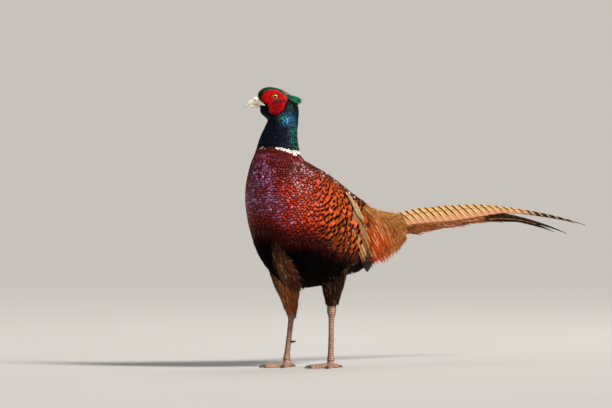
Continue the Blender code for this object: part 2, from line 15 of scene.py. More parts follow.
import bmesh
import bpy
import numpy as np
from mathutils import Matrix, Vector, kdtree, noise
from mathutils.bvhtree import BVHTree
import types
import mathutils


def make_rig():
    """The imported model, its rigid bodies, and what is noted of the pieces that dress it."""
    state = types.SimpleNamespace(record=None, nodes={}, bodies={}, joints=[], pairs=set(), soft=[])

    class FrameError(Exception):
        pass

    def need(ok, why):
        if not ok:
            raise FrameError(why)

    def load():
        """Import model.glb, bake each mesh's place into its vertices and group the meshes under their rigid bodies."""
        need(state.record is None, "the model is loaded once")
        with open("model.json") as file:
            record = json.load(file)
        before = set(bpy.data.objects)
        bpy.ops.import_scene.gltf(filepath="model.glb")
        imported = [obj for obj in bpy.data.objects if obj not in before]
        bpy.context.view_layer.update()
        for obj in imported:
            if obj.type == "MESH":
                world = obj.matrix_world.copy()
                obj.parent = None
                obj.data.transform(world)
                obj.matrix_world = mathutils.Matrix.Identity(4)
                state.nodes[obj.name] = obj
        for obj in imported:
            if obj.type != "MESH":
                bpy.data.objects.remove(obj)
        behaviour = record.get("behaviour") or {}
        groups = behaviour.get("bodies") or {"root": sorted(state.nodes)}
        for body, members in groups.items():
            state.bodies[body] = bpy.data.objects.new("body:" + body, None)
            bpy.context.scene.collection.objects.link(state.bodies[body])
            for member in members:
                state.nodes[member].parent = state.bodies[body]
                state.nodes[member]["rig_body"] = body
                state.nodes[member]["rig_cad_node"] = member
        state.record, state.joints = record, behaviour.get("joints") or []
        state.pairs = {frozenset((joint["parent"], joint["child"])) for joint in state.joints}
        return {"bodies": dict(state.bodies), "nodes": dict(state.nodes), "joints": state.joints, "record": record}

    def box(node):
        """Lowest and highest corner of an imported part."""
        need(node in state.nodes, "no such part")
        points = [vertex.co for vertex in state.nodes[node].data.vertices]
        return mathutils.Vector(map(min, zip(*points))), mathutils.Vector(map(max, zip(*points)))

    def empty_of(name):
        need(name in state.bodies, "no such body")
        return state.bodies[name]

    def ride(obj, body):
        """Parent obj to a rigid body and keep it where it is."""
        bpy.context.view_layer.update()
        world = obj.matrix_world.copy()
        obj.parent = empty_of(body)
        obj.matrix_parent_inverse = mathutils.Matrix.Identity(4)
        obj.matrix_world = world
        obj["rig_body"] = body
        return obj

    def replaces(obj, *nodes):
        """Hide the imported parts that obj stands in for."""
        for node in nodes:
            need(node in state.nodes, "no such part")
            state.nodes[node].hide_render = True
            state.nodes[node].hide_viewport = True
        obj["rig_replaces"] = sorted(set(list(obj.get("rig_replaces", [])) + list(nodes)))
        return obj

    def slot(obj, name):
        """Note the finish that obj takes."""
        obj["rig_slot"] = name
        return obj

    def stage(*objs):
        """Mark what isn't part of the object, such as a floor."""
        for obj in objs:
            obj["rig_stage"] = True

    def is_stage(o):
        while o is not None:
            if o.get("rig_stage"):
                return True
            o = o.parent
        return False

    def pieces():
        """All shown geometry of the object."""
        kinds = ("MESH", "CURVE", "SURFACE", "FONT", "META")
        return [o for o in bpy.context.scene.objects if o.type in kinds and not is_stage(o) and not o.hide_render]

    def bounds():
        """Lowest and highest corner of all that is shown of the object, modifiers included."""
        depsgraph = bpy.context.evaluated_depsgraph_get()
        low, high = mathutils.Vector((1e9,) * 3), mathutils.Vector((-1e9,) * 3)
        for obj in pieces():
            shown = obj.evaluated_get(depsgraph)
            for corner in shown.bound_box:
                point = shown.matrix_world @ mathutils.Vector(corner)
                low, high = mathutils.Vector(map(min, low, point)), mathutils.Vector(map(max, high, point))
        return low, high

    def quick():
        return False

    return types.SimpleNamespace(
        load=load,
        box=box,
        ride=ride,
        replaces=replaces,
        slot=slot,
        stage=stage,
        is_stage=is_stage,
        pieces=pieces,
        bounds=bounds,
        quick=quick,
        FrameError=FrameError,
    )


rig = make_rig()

log = logging.getLogger("pheasant")
MM = 0.001
Array = np.ndarray
Piece = bpy.types.Object
Socket = bpy.types.NodeSocket
Rings = tuple[tuple[float, ...], ...]
Look = dict[str, Array]
DOWN = np.array((0.0, 0.0, -1.0))
AHEAD = np.array((0.0, -1.0, 0.0))
FLOOR = np.array((-math.inf, -math.inf, 0.0))

# Body rings, from the tail root to the neck and from the neck to the bill: back y, back z, belly y,
# belly z and half width.
TRUNK = (
    (183, 217, 184, 187, 16), (160, 219, 158, 173, 27), (130, 224, 126, 160, 38),
    (98, 236, 94, 147, 49), (68, 255, 56, 131, 58), (38, 274, 14, 118, 63.5),
    (12, 288, -34, 118, 65), (-10, 297, -70, 142, 63.5), (-24, 303, -93, 179, 59),
    (-32, 307, -108, 221, 52.5), (-36, 311, -112, 258, 45.5), (-37, 315, -107, 293, 38),
    (-36.5, 319, -98.5, 319, 31), (-38, 337, -92, 336, 27), (-35, 360, -78, 360, 21.8),
)
HEAD = (
    (22, 0.3, -21.5, 0.5, 21.5), (22.9, 10.5, -24, 1.5, 20), (21, 22, -26, 3, 18.5),
    (15.5, 32, -28, 5, 17), (5, 40.2, -30, 6.8, 16.2), (-8, 45.6, -32, 8.6, 15.6),
    (-20, 47.4, -33.2, 10.6, 14.2), (-29, 45.4, -33.6, 12.6, 12.2),
    (-35, 40.6, -33.8, 14.4, 9.6), (-38, 34.8, -34, 16.4, 7.8),
)
# Thigh rings by side, 1 for the left: x, y, z, half width across and along.
THIGHS = {
    1: ((35, 8, 166, 18, 31), (36, 8, 143, 19, 26), (35.5, 9, 121, 15.5, 18.5),
        (34.5, 10, 104, 10.8, 12.4), (33.5, 10, 91, 7.8, 9), (33, 10, 84, 6.4, 7.2)),
    -1: ((36, -14, 166, 18, 33), (36.5, -14, 143, 20, 29), (36, -11, 119, 17, 21),
         (34.5, -8, 101, 12, 14.4), (33.5, -6, 87, 8.4, 9.6), (33, -5, 79.5, 6.6, 7.4)),
}
EYE = (9.9, -11.5, 32.6)
# Where the folded wing begins and ends along the trunk, by degrees from the back.
WING_EDGE = (
    (0, 5.5), (44, 5.5), (52, 5.4), (60, 5.2), (73, 4.9), (84, 4.6), (96, 4.53), (108, 4.42),
    (120, 4.3), (130, 4.05), (180, 3.9),
)
WING_TIPS = (
    (0, 5.2), (46, 5.2), (52, 5.1), (60, 4.85), (73, 4.58), (84, 4.36), (96, 4.24), (108, 4.08),
    (120, 3.78), (130, 3.5), (140, 3.4), (180, 3.3),
)
# Where the rump's loose feathers begin, by the same degrees, and the height at which the neck does.
RUMP_START = ((0, 46, 58), (4.3, 4.5, 5.0))
NECK_BASE = 318


def srgb(*rgb: float) -> Array:
    """Linear colour of an sRGB triple from 0 to 255.

    Args:
        rgb: Red, green and blue.

    Returns:
        Three linear numbers.
    """
    c = np.array(rgb, dtype=float) / 255
    return np.where(c <= 0.04045, c / 12.92, ((c + 0.055) / 1.055) ** 2.4)


def ramp(value: Array, low: float, high: float) -> Array:
    """Smooth step from 0 at low to 1 at high, which may be below low.

    Args:
        value: Numbers to place.
        low: Where the result is 0.
        high: Where the result is 1.

    Returns:
        Numbers from 0 to 1.
    """
    t = np.clip((np.asarray(value, dtype=float) - low) / (high - low), 0, 1)
    return t * t * (3 - 2 * t)


def toward(colour: Array, other: Array, share: Array) -> Array:
    """Mix rows of one colour toward another.

    Args:
        colour: Colours, one row each.
        other: The colour or colours mixed in.
        share: How much, one number a row.

    Returns:
        The mixed colours.
    """
    return colour + (other - colour) * np.asarray(share)[..., None]


def unit(v: Array) -> Array:
    """Vectors scaled to length 1."""
    return v / np.maximum(np.linalg.norm(v, axis=-1, keepdims=True), 1e-12)


def bell(*terms: tuple[Array, float, float]) -> Array:
    """A smooth hill that is 1 where every value is at its middle.

    Args:
        terms: A value, its middle and its spread, for each direction.

    Returns:
        Numbers from 0 to 1.
    """
    return np.exp(-sum(((value - middle) / spread) ** 2 for value, middle, spread in terms))


def from_back(angle: Array) -> Array:
    """Degrees from the back, 0 to 180, of angles round the trunk in radians."""
    return np.degrees(np.abs((angle + math.pi) % (2 * math.pi) - math.pi))


def circle(sides: int) -> Array:
    """Equal angles once round."""
    return np.linspace(0, 2 * math.pi, sides + 1)[:-1]


def which(side: int) -> str:
    """The word for a side, 1 for the bird's left and -1 for its right."""
    return "left" if side > 0 else "right"


class Loft:
    """A body form through rings, each given by its back, its belly and half its width."""

    def __init__(self, keys: Sequence[Sequence[float]], matrix: Matrix | None = None) -> None:
        """Keep the keys in metres.

        Args:
            keys: Rows of back y, back z, belly y, belly z and half width in millimetres.
            matrix: Where the form's own frame sits.
        """
        self.keys = np.array(keys, dtype=float) * MM
        self.matrix = np.array(matrix or Matrix.Identity(4))

    @property
    def last(self) -> int:
        """The highest place along the form."""
        return len(self.keys) - 1

    def at(self, place: Array, angle: Array) -> Array:
        """Points on the form.

        Args:
            place: Places along the keys.
            angle: Angles round the form from its back, in radians.

        Returns:
            One point a row.
        """
        place, angle = np.broadcast_arrays(np.asarray(place, float), np.asarray(angle, float))
        i = np.clip(np.floor(place).astype(int), 0, self.last - 1)
        f = (place - i)[..., None]
        p, q, r, s = (self.keys[np.clip(i + k, 0, self.last)] for k in (-1, 0, 1, 2))
        v = 0.5 * (2 * q + (r - p) * f + (2 * p - 5 * q + 4 * r - s) * f**2 + (3 * q - p - 3 * r + s) * f**3)
        middle = (v[..., 0:2] + v[..., 2:4]) / 2
        rise = (v[..., 0:2] - v[..., 2:4]) / 2
        yz = middle + rise * np.cos(angle)[..., None]
        local = np.stack([v[..., 4] * np.sin(angle), yz[..., 0], yz[..., 1]], axis=-1)
        return local @ self.matrix[:3, :3].T + self.matrix[:3, 3]

    def normal(self, place: Array, angle: Array) -> Array:
        """Outward directions at places and angles on the form.

        Args:
            place: Places along the keys.
            angle: Angles round the form.

        Returns:
            One unit vector a row.
        """
        step = 0.02
        along = self.at(np.asarray(place) + step, angle) - self.at(np.asarray(place) - step, angle)
        around = self.at(place, np.asarray(angle) + step) - self.at(place, np.asarray(angle) - step)
        return unit(np.cross(along, around))


@dataclass
class Bird:
    """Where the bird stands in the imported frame, and the forms everything is placed on."""

    tail_root: float = 0.184
    neck_top: tuple[float, float, float] = (0, -56.5, 360)
    head_turn: float = math.radians(-45)
    shift: Array = field(init=False)
    trunk: Loft = field(init=False)
    head: Loft = field(init=False)
    head_frame: Matrix = field(init=False)

    def __post_init__(self) -> None:
        """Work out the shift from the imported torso, whose tail end is known."""
        self.shift = np.array((0.0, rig.box("torso")[1][1] - self.tail_root, 0.0))
        move = Matrix.Translation(Vector(self.shift))
        self.trunk = Loft(TRUNK, move)
        self.head_frame = move @ Matrix.Translation(Vector(self.neck_top) * MM)
        self.head_frame = self.head_frame @ Matrix.Rotation(self.head_turn, 4, "Z")
        self.head = Loft(HEAD, self.head_frame)

    def mm(self, points: Array) -> Array:
        """World points as millimetres in the bird's own frame."""
        return (points - self.shift) / MM

    def world(self, points: Array) -> Array:
        """Millimetres in the bird's own frame as world points."""
        return points * MM + self.shift

    def in_head(self, points: Array) -> Array:
        """World points as millimetres in the head's frame."""
        back = np.array(self.head_frame.inverted())
        return (points @ back[:3, :3].T + back[:3, 3]) / MM

    def from_head(self, points: Array) -> Array:
        """Millimetres in the head's frame as world points."""
        matrix = np.array(self.head_frame)
        return points * MM @ matrix[:3, :3].T + matrix[:3, 3]


def quads_mesh(name: str, verts: Array, faces: Array) -> Piece:
    """A linked object from vertices and quads.

    Args:
        name: The object's name.
        verts: Vertices, one row each.
        faces: Quads, one row of four indices each.

    Returns:
        The object, shaded smooth.
    """
    mesh = bpy.data.meshes.new(name)
    mesh.vertices.add(len(verts))
    mesh.vertices.foreach_set("co", np.ascontiguousarray(verts, dtype=np.float32).ravel())
    mesh.loops.add(faces.size)
    mesh.loops.foreach_set("vertex_index", np.ascontiguousarray(faces, dtype=np.int32).ravel())
    mesh.polygons.add(len(faces))
    mesh.polygons.foreach_set("loop_start", np.arange(0, faces.size, 4, dtype=np.int32))
    mesh.update(calc_edges=True)
    mesh.shade_smooth()
    piece = bpy.data.objects.new(name, mesh)
    bpy.context.scene.collection.objects.link(piece)
    return piece


def tube_faces(rows: int, sides: int) -> Array:
    """Quads of a tube of rings, rows rings long.

    Args:
        rows: How many rings there are.
        sides: How many points each has.

    Returns:
        Four indices a row.
    """
    r, c = np.meshgrid(np.arange(rows - 1), np.arange(sides), indexing="ij")
    d = (c + 1) % sides
    return np.stack([r * sides + c, r * sides + d, (r + 1) * sides + d, (r + 1) * sides + c], -1).reshape(-1, 4)


def face_outward(piece: Piece, merge: float = 0.0) -> None:
    """Turn a closed mesh's faces outward, after merging points closer than a distance.

    Args:
        piece: The piece.
        merge: The distance in metres, 0 for none.
    """
    shell = bmesh.new()
    shell.from_mesh(piece.data)
    if merge:
        bmesh.ops.remove_doubles(shell, verts=shell.verts, dist=merge)
    bmesh.ops.recalc_face_normals(shell, faces=shell.faces)
    shell.to_mesh(piece.data)
    shell.free()
    piece.data.shade_smooth()


def closed_tube(name: str, rings: Array) -> Piece:
    """A closed tube through rings, its ends drawn together to a point.

    Args:
        name: The object's name.
        rings: Array of rings, points and coordinates.

    Returns:
        The object with its faces outward.
    """
    rows, sides = rings.shape[:2]
    first, last = (np.repeat(rings[i].mean(0)[None], sides, 0) for i in (0, -1))
    rings = np.concatenate([first[None], rings, last[None]])
    piece = quads_mesh(name, rings.reshape(-1, 3), tube_faces(rows + 2, sides))
    face_outward(piece, merge=1e-7)
    return piece


def closed_loop(name: str, rings: Array) -> Piece:
    """A tube through rings whose last ring joins its first.

    Args:
        name: The object's name.
        rings: Array of rings, points and coordinates.

    Returns:
        The object with its faces outward.
    """
    rows, sides = rings.shape[:2]
    piece = quads_mesh(name, rings.reshape(-1, 3), tube_faces(rows + 1, sides) % (rows * sides))
    face_outward(piece)
    return piece


def as_one(forms: list[Piece], name: str, voxel: float, ease: int = 0) -> Piece:
    """Join closed forms and remesh them as one.

    Args:
        forms: The forms.
        name: The name of what they become.
        voxel: The size of the new mesh in millimetres.
        ease: How often it is smoothed.

    Returns:
        The object, at the first form's place in the scene.
    """
    bpy.ops.object.select_all(action="DESELECT")
    for form in forms:
        form.select_set(True)
    whole = bpy.context.view_layer.objects.active = forms[0]
    bpy.ops.object.join()
    remesh = whole.modifiers.new("one_form", "REMESH")
    remesh.mode, remesh.voxel_size = "VOXEL", voxel * MM
    if ease:
        smooth = whole.modifiers.new("ease", "SMOOTH")
        smooth.factor, smooth.iterations = 0.5, ease
    for modifier in [m.name for m in whole.modifiers]:
        bpy.ops.object.modifier_apply(modifier=modifier)
    whole.name = whole.data.name = name
    whole.data.materials.clear()
    whole.data.shade_smooth()
    return whole


def set_attribute(piece: Piece, name: str, values: Array) -> None:
    """Store numbers or colours on a mesh's points.

    Args:
        piece: The object.
        name: The attribute's name.
        values: One number, or three or four, for each vertex.
    """
    values = np.asarray(values, dtype=np.float32)
    if values.ndim == 1:
        piece.data.attributes.new(name, "FLOAT", "POINT").data.foreach_set("value", values)
        return
    if values.shape[1] == 3:
        values = np.concatenate([values, np.ones((len(values), 1), np.float32)], axis=1)
    layer = piece.data.attributes.new(name, "FLOAT_COLOR", "POINT")
    layer.data.foreach_set("color", np.ascontiguousarray(values).ravel())


def set_uv(piece: Piece, name: str, uv: Array) -> None:
    """Store a UV map given by vertex.

    Args:
        piece: The object.
        name: The map's name.
        uv: Two numbers for each vertex.
    """
    loops = np.empty(len(piece.data.loops), dtype=np.int32)
    piece.data.loops.foreach_get("vertex_index", loops)
    layer = piece.data.uv_layers.new(name=name)
    layer.data.foreach_set("uv", np.ascontiguousarray(uv[loops], dtype=np.float32).ravel())


def points_of(piece: Piece) -> Array:
    """All vertices of a piece as rows.

    Args:
        piece: The piece.

    Returns:
        One point a row, in metres.
    """
    co = np.empty(len(piece.data.vertices) * 3, dtype=np.float32)
    piece.data.vertices.foreach_get("co", co)
    return co.reshape(-1, 3).astype(float)


def nearest(known: Array, points: Array) -> Array:
    """Which of the known points each point is nearest to.

    Args:
        known: The known points.
        points: The points to place.

    Returns:
        One index into the known points for each.
    """
    finder = kdtree.KDTree(len(known))
    for i, point in enumerate(known):
        finder.insert(Vector(point), i)
    finder.balance()
    return np.array([finder.find(Vector(point))[1] for point in points])


class Surface:
    """The meshes that feathers are laid on."""

    def __init__(self, *pieces: Piece) -> None:
        """Build one search tree of all the pieces' meshes."""
        verts: list[Vector] = []
        faces: list[tuple[int, ...]] = []
        for piece in pieces:
            start = len(verts)
            verts += [v.co for v in piece.data.vertices]
            faces += [tuple(i + start for i in f.vertices) for f in piece.data.polygons]
        self.tree = BVHTree.FromPolygons(verts, faces)

    def hit(self, points: Array, normals: Array, reach: float) -> tuple[Array, Array, Array]:
        """Drop points along their normals onto the surface.

        Args:
            points: Points near the surface.
            normals: Outward directions.
            reach: How far off the surface may be.

        Returns:
            Whether each one landed, where, and the surface's normal there.
        """
        found = np.zeros(len(points), bool)
        where, facing = points.copy(), normals.copy()
        for i, (point, normal) in enumerate(zip(points, normals)):
            place, face, _, _ = self.tree.ray_cast(Vector(point + normal * reach), Vector(-normal), 2 * reach)
            if place is not None:
                found[i], where[i], facing[i] = True, place, face
        return found, where, facing

    def near(self, points: Array) -> tuple[Array, Array]:
        """The nearest places on the surface and the normals there.

        Args:
            points: Points near the surface.

        Returns:
            Places and normals, one a row.
        """
        where, facing = points.copy(), points.copy()
        for i, point in enumerate(points):
            place, face, _, _ = self.tree.find_nearest(Vector(point))
            where[i], facing[i] = place, face
        return where, facing


@dataclass
class Roots:
    """Where feathers grow, which way they lie, and where that is on the form."""

    point: Array
    lie: Array
    normal: Array
    place: Array
    angle: Array
    pitch: Array

    def keep(self, mask: Array) -> "Roots":
        """The roots that a mask selects."""
        return Roots(*(getattr(self, k)[mask] for k in ("point", "lie", "normal", "place", "angle", "pitch")))

    def land(self, point: Array, normal: Array) -> None:
        """Move the roots onto a surface and lay them flat on it.

        Args:
            point: Their places on it.
            normal: The surface's normals there.
        """
        self.point, self.normal = point, unit(0.5 * unit(normal) + 0.5 * self.normal)
        self.lie = unit(self.lie - self.normal * (self.lie * self.normal).sum(-1, keepdims=True))

    def unwrap(self, length: float, start: float = 0.0) -> Array:
        """Places on the form's own unwrap, which is so many places long."""
        return np.stack([self.angle / (2 * math.pi), start + self.place / length], 1)

    def __len__(self) -> int:
        """How many roots there are."""
        return len(self.place)


def rows_on(form: Loft, start: float, end: float, pitch: Callable[[Array, Array, Array], Array],
            row_share: float, seed: int) -> Roots:
    """Staggered rows of roots down a form, spaced by a pitch that changes smoothly.

    Args:
        form: The form.
        start: The place along it where the first row is.
        end: The place where the rows stop, below start.
        pitch: Gives the pitch in metres for points, places and angles.
        row_share: The spacing of the rows as a share of the pitch.
        seed: Seed of the small shifts.

    Returns:
        The roots, their lie pointing from start to end.
    """
    rng = np.random.default_rng(seed)
    angles, places, beside = np.linspace(0, 2 * math.pi, 181), np.linspace(start, end, 420), 0.03
    grid = form.at(places[None, :], angles[:, None])
    size = pitch(grid, *np.broadcast_arrays(places[None, :], angles[:, None]))
    step = np.linalg.norm(np.diff(grid, axis=1), axis=-1)
    row_gap = size[:, 1:] * row_share * (1 + 0.4 * ramp(size[:, 1:], 6.5 * MM, 9.5 * MM))
    count = np.concatenate([np.zeros((len(angles), 1)), np.cumsum(step / row_gap, axis=1)], 1)
    found = []
    for row in range(int(count[:, -1].max()) + 1):
        place = np.array([np.interp(row, marks, places, right=np.nan) for marks in count])
        if np.isnan(place).all():
            continue
        filled = np.where(np.isnan(place), end, place)
        curve = form.at(filled, angles)
        gap = np.array([np.interp(p, places[::-1], sizes[::-1]) for p, sizes in zip(filled, size)])
        across = np.concatenate([[0], np.cumsum(np.linalg.norm(np.diff(curve, axis=0), axis=1) / gap[1:])])
        number = max(3, round(across[-1]))
        marks = (np.arange(number) + (0.5 if row % 2 else 0) + rng.uniform(-0.17, 0.17, number)) % number
        angle = np.interp(marks * across[-1] / number, across, angles)
        ok = ~np.isnan(np.interp(angle, angles, place))
        found.append(np.stack([np.interp(angle, angles, filled), angle, np.interp(angle, angles, gap)], 1)[ok])
    place, angle, gap = np.concatenate(found).T
    speed = np.linalg.norm(form.at(place + beside, angle) - form.at(place - beside, angle), axis=-1) / (2 * beside)
    place = place + np.clip(rng.normal(0, 0.13, len(place)), -0.3, 0.3) * gap / speed
    lie = unit(form.at(place - beside, angle) - form.at(place + beside, angle))
    return Roots(form.at(place, angle), lie, form.normal(place, angle), place, angle, gap)


class Outline(Enum):
    """The outlines of small feathers: each row's share of length and of half width."""

    ROUND = ((0.0, 0.3), (0.3, 0.8), (0.6, 1.0), (0.82, 0.88), (0.95, 0.5), (1.0, 0.14))
    SHORT = ((0.0, 0.5), (0.45, 1.0), (0.85, 0.7), (1.0, 0.15))
    HAIR = ((0.0, 0.6), (0.3, 1.0), (0.6, 0.8), (0.85, 0.45), (1.0, 0.06))
    BLUNT = ((0.0, 0.5), (0.3, 0.9), (0.65, 1.0), (0.88, 0.92), (0.97, 0.66), (1.0, 0.3))


def many(name: str, verts: Array, one: Array, number: int, look: Look, **lasting: Array) -> Piece:
    """A piece of feathers that all have the same quads.

    Args:
        name: The piece's name.
        verts: The vertices of all feathers, one after the other.
        one: The quads of one feather.
        number: How many feathers there are.
        look: Numbers and colours, one row for each feather.
        lasting: Numbers for each vertex.

    Returns:
        The piece with its attributes.
    """
    each = len(verts) // number
    faces = (one[None] + (np.arange(number) * each)[:, None, None]).reshape(-1, 4)
    piece = quads_mesh(name, verts, faces[:, ::-1])
    for key, value in lasting.items():
        set_attribute(piece, key, value)
    for key, value in look.items():
        set_attribute(piece, key, np.repeat(value, each, axis=0))
    return piece


def patch(unwrap: Array, across: Array, along: Array) -> Array:
    """Bake map of small feathers, each a patch of 0.003 round its place on an unwrap."""
    spread = np.repeat(unwrap, len(across) // len(unwrap), axis=0)
    return spread + np.stack([across * 0.0015, (along - 0.5) * 0.003], 1)


def feather_coat(name: str, roots: Roots, surface: Surface, outline: Outline, length: Array, half: Array,
                 rise: Array, look: Look, unwrap: Array, seed: int, sink: float = 0.5 * MM,
                 hang: Array | float = 0.0, cling: Array | float = 0.35) -> Piece:
    """A coat piece of small feathers, each a thin closed vane that follows the surface.

    Args:
        name: The piece's name.
        roots: Where the feathers grow.
        surface: What they lie on.
        outline: Their outline.
        length: Their lengths.
        half: Half their widths.
        rise: How high the tips stand off the surface.
        look: Colours and masks, one row for each feather.
        unwrap: Each root's place on the skin's own unwrap.
        seed: Seed of the small turns.
        sink: How deep the roots sit.
        hang: How far the tips drop under their own weight.
        cling: Share of the way off the surface that is kept, from 0, pressed on, to 1, free.

    Returns:
        The piece, not yet dressed.
    """
    rng = np.random.default_rng(seed)
    number = len(roots)
    t, w = np.array(outline.value).T
    rows = len(t)
    side = unit(np.cross(roots.normal, roots.lie))
    lie = unit(roots.lie + side * rng.normal(0, 0.09, number)[:, None])
    length = length * rng.uniform(0.92, 1.08, number)
    straight = roots.point[:, None] + lie[:, None] * (length[:, None] * t)[..., None]
    straight = straight + np.array((0, 0, -1)) * (np.broadcast_to(hang, number)[:, None] * t**2)[..., None]
    near, normal = (part.reshape(number, rows, 3) for part in surface.near(straight.reshape(-1, 3)))
    normal = unit(0.6 * unit(normal) + 0.4 * roots.normal[:, None])
    high = -sink + (rise[:, None] * rng.uniform(0.85, 1.15, number)[:, None] + sink) * t**0.8
    off = straight - near
    off = np.where((off * normal).sum(-1, keepdims=True) > 0, off, 0)
    path = near + off * np.broadcast_to(cling, number)[:, None, None] + normal * high[..., None]
    ahead = unit(np.gradient(path, axis=1))
    across = unit(np.cross(normal, ahead))
    up = unit(np.cross(ahead, across))
    wide = (half[:, None] * w)[..., None]
    thick, camber = 0.12 * MM + 0.05 * wide, 0.11 * wide
    left, right = path - across * wide, path + across * wide
    top, base = path + up * (camber + thick * 0.5), path + up * (camber * 0.4 - thick)
    verts = np.stack([left, base, right, top], axis=2).reshape(-1, 3)
    caps = np.array([[3, 2, 1, 0], [(rows - 1) * 4 + k for k in range(4)]])
    along = np.tile(np.repeat(t, 4), number)
    lateral = np.tile(np.array([-1.0, 0, 1, 0]), rows * number)
    look = {"seed": rng.uniform(0, 1, number), **look}
    one = np.concatenate([tube_faces(rows, 4), caps])
    piece = many(name, verts, one, number, look, along=along, across=lateral)
    set_uv(piece, "OFBake", patch(unwrap, lateral, along))
    return piece


def blade_feathers(name: str, path: Array, normal: Array, inner: Array, outer: Array, thick: float,
                   camber: float, look: Look, unwrap: Array | None = None, columns: int = 9,
                   fray: float = 0.0, seed: int = 3, flip: bool = False) -> Piece:
    """A piece of long feathers, each a closed thin blade with a raised shaft.

    Args:
        name: The piece's name.
        path: The shafts, by feather and row.
        normal: The outward directions along them.
        inner: Width of the vane on one side of the shaft, by feather and row.
        outer: Width on the other side.
        thick: Thickness at the middle.
        camber: How far the vanes droop from the shaft.
        look: Colours and masks, one row for each feather.
        unwrap: Each feather's place on an unwrap, or None for a strip of the bake map to itself.
        columns: Points across, an odd number.
        fray: How ragged the edges are.
        seed: Seed of the raggedness.
        flip: Whether the attribute "down" runs the other way.

    Returns:
        The piece, not yet dressed.
    """
    rng = np.random.default_rng(seed)
    number, rows = path.shape[:2]
    ahead = unit(np.gradient(path, axis=1))
    side = unit(np.cross(normal, ahead))
    up = unit(np.cross(ahead, side))
    share = np.linspace(-1, 1, columns)
    edge = np.abs(share) == 1
    ragged = 1 - edge * fray * rng.uniform(0, 1, (number, rows, columns))
    shift = (edge * fray * rng.uniform(-0.5, 0.5, (number, rows, columns)) * 2 * MM)[..., None]
    offset = share * np.where(share[None, None] < 0, inner[..., None], outer[..., None]) * ragged
    drop = camber * np.abs(offset) ** 1.3 * 4
    shaft = np.exp(-(share / 0.12) ** 2) * 0.35 * MM
    middle = path[:, :, None] + side[:, :, None] * offset[..., None] + ahead[:, :, None] * shift
    middle = middle - up[:, :, None] * (drop - shaft)[..., None]
    half = (thick * (0.25 + 0.75 * (1 - share**2)) * 0.5)[None, None, :, None]
    top, base = middle + up[:, :, None] * half, middle - up[:, :, None] * half
    sides, c = columns * 2, np.arange(columns - 1)
    start, end = (np.stack([r + c, r + c + 1, r + sides - 2 - c, r + sides - 1 - c], 1)
                  for r in (0, (rows - 1) * sides))
    one = np.concatenate([tube_faces(rows, sides), start[:, ::-1], end])
    gone = np.cumsum(np.linalg.norm(np.diff(path, axis=1), axis=-1), 1)
    dist = np.concatenate([np.zeros((number, 1)), gone], 1)
    down = (inner[..., None] + offset) / (inner + outer)[..., None]
    down = 1 - down if flip else down
    along = np.repeat((dist / dist[:, -1:]).ravel(), sides)
    lateral = np.tile(np.concatenate([share, share[::-1]]), rows * number)
    piece = many(name, np.concatenate([top, base[:, :, ::-1]], axis=2).reshape(-1, 3), one, number,
                 {"seed": rng.uniform(0, 1, number), **look}, along=along, across=lateral,
                 dist=np.repeat((dist / MM).ravel(), sides),
                 down=np.concatenate([down, down[..., ::-1]], axis=-1).ravel())
    if unwrap is None:
        column = (np.repeat(np.arange(number), rows * sides) + 0.5 + 0.42 * lateral) / number
        set_uv(piece, "OFBake", np.stack([column, 0.02 + 0.96 * along], 1))
    else:
        set_uv(piece, "OFBake", patch(unwrap, lateral, along))
    return piece


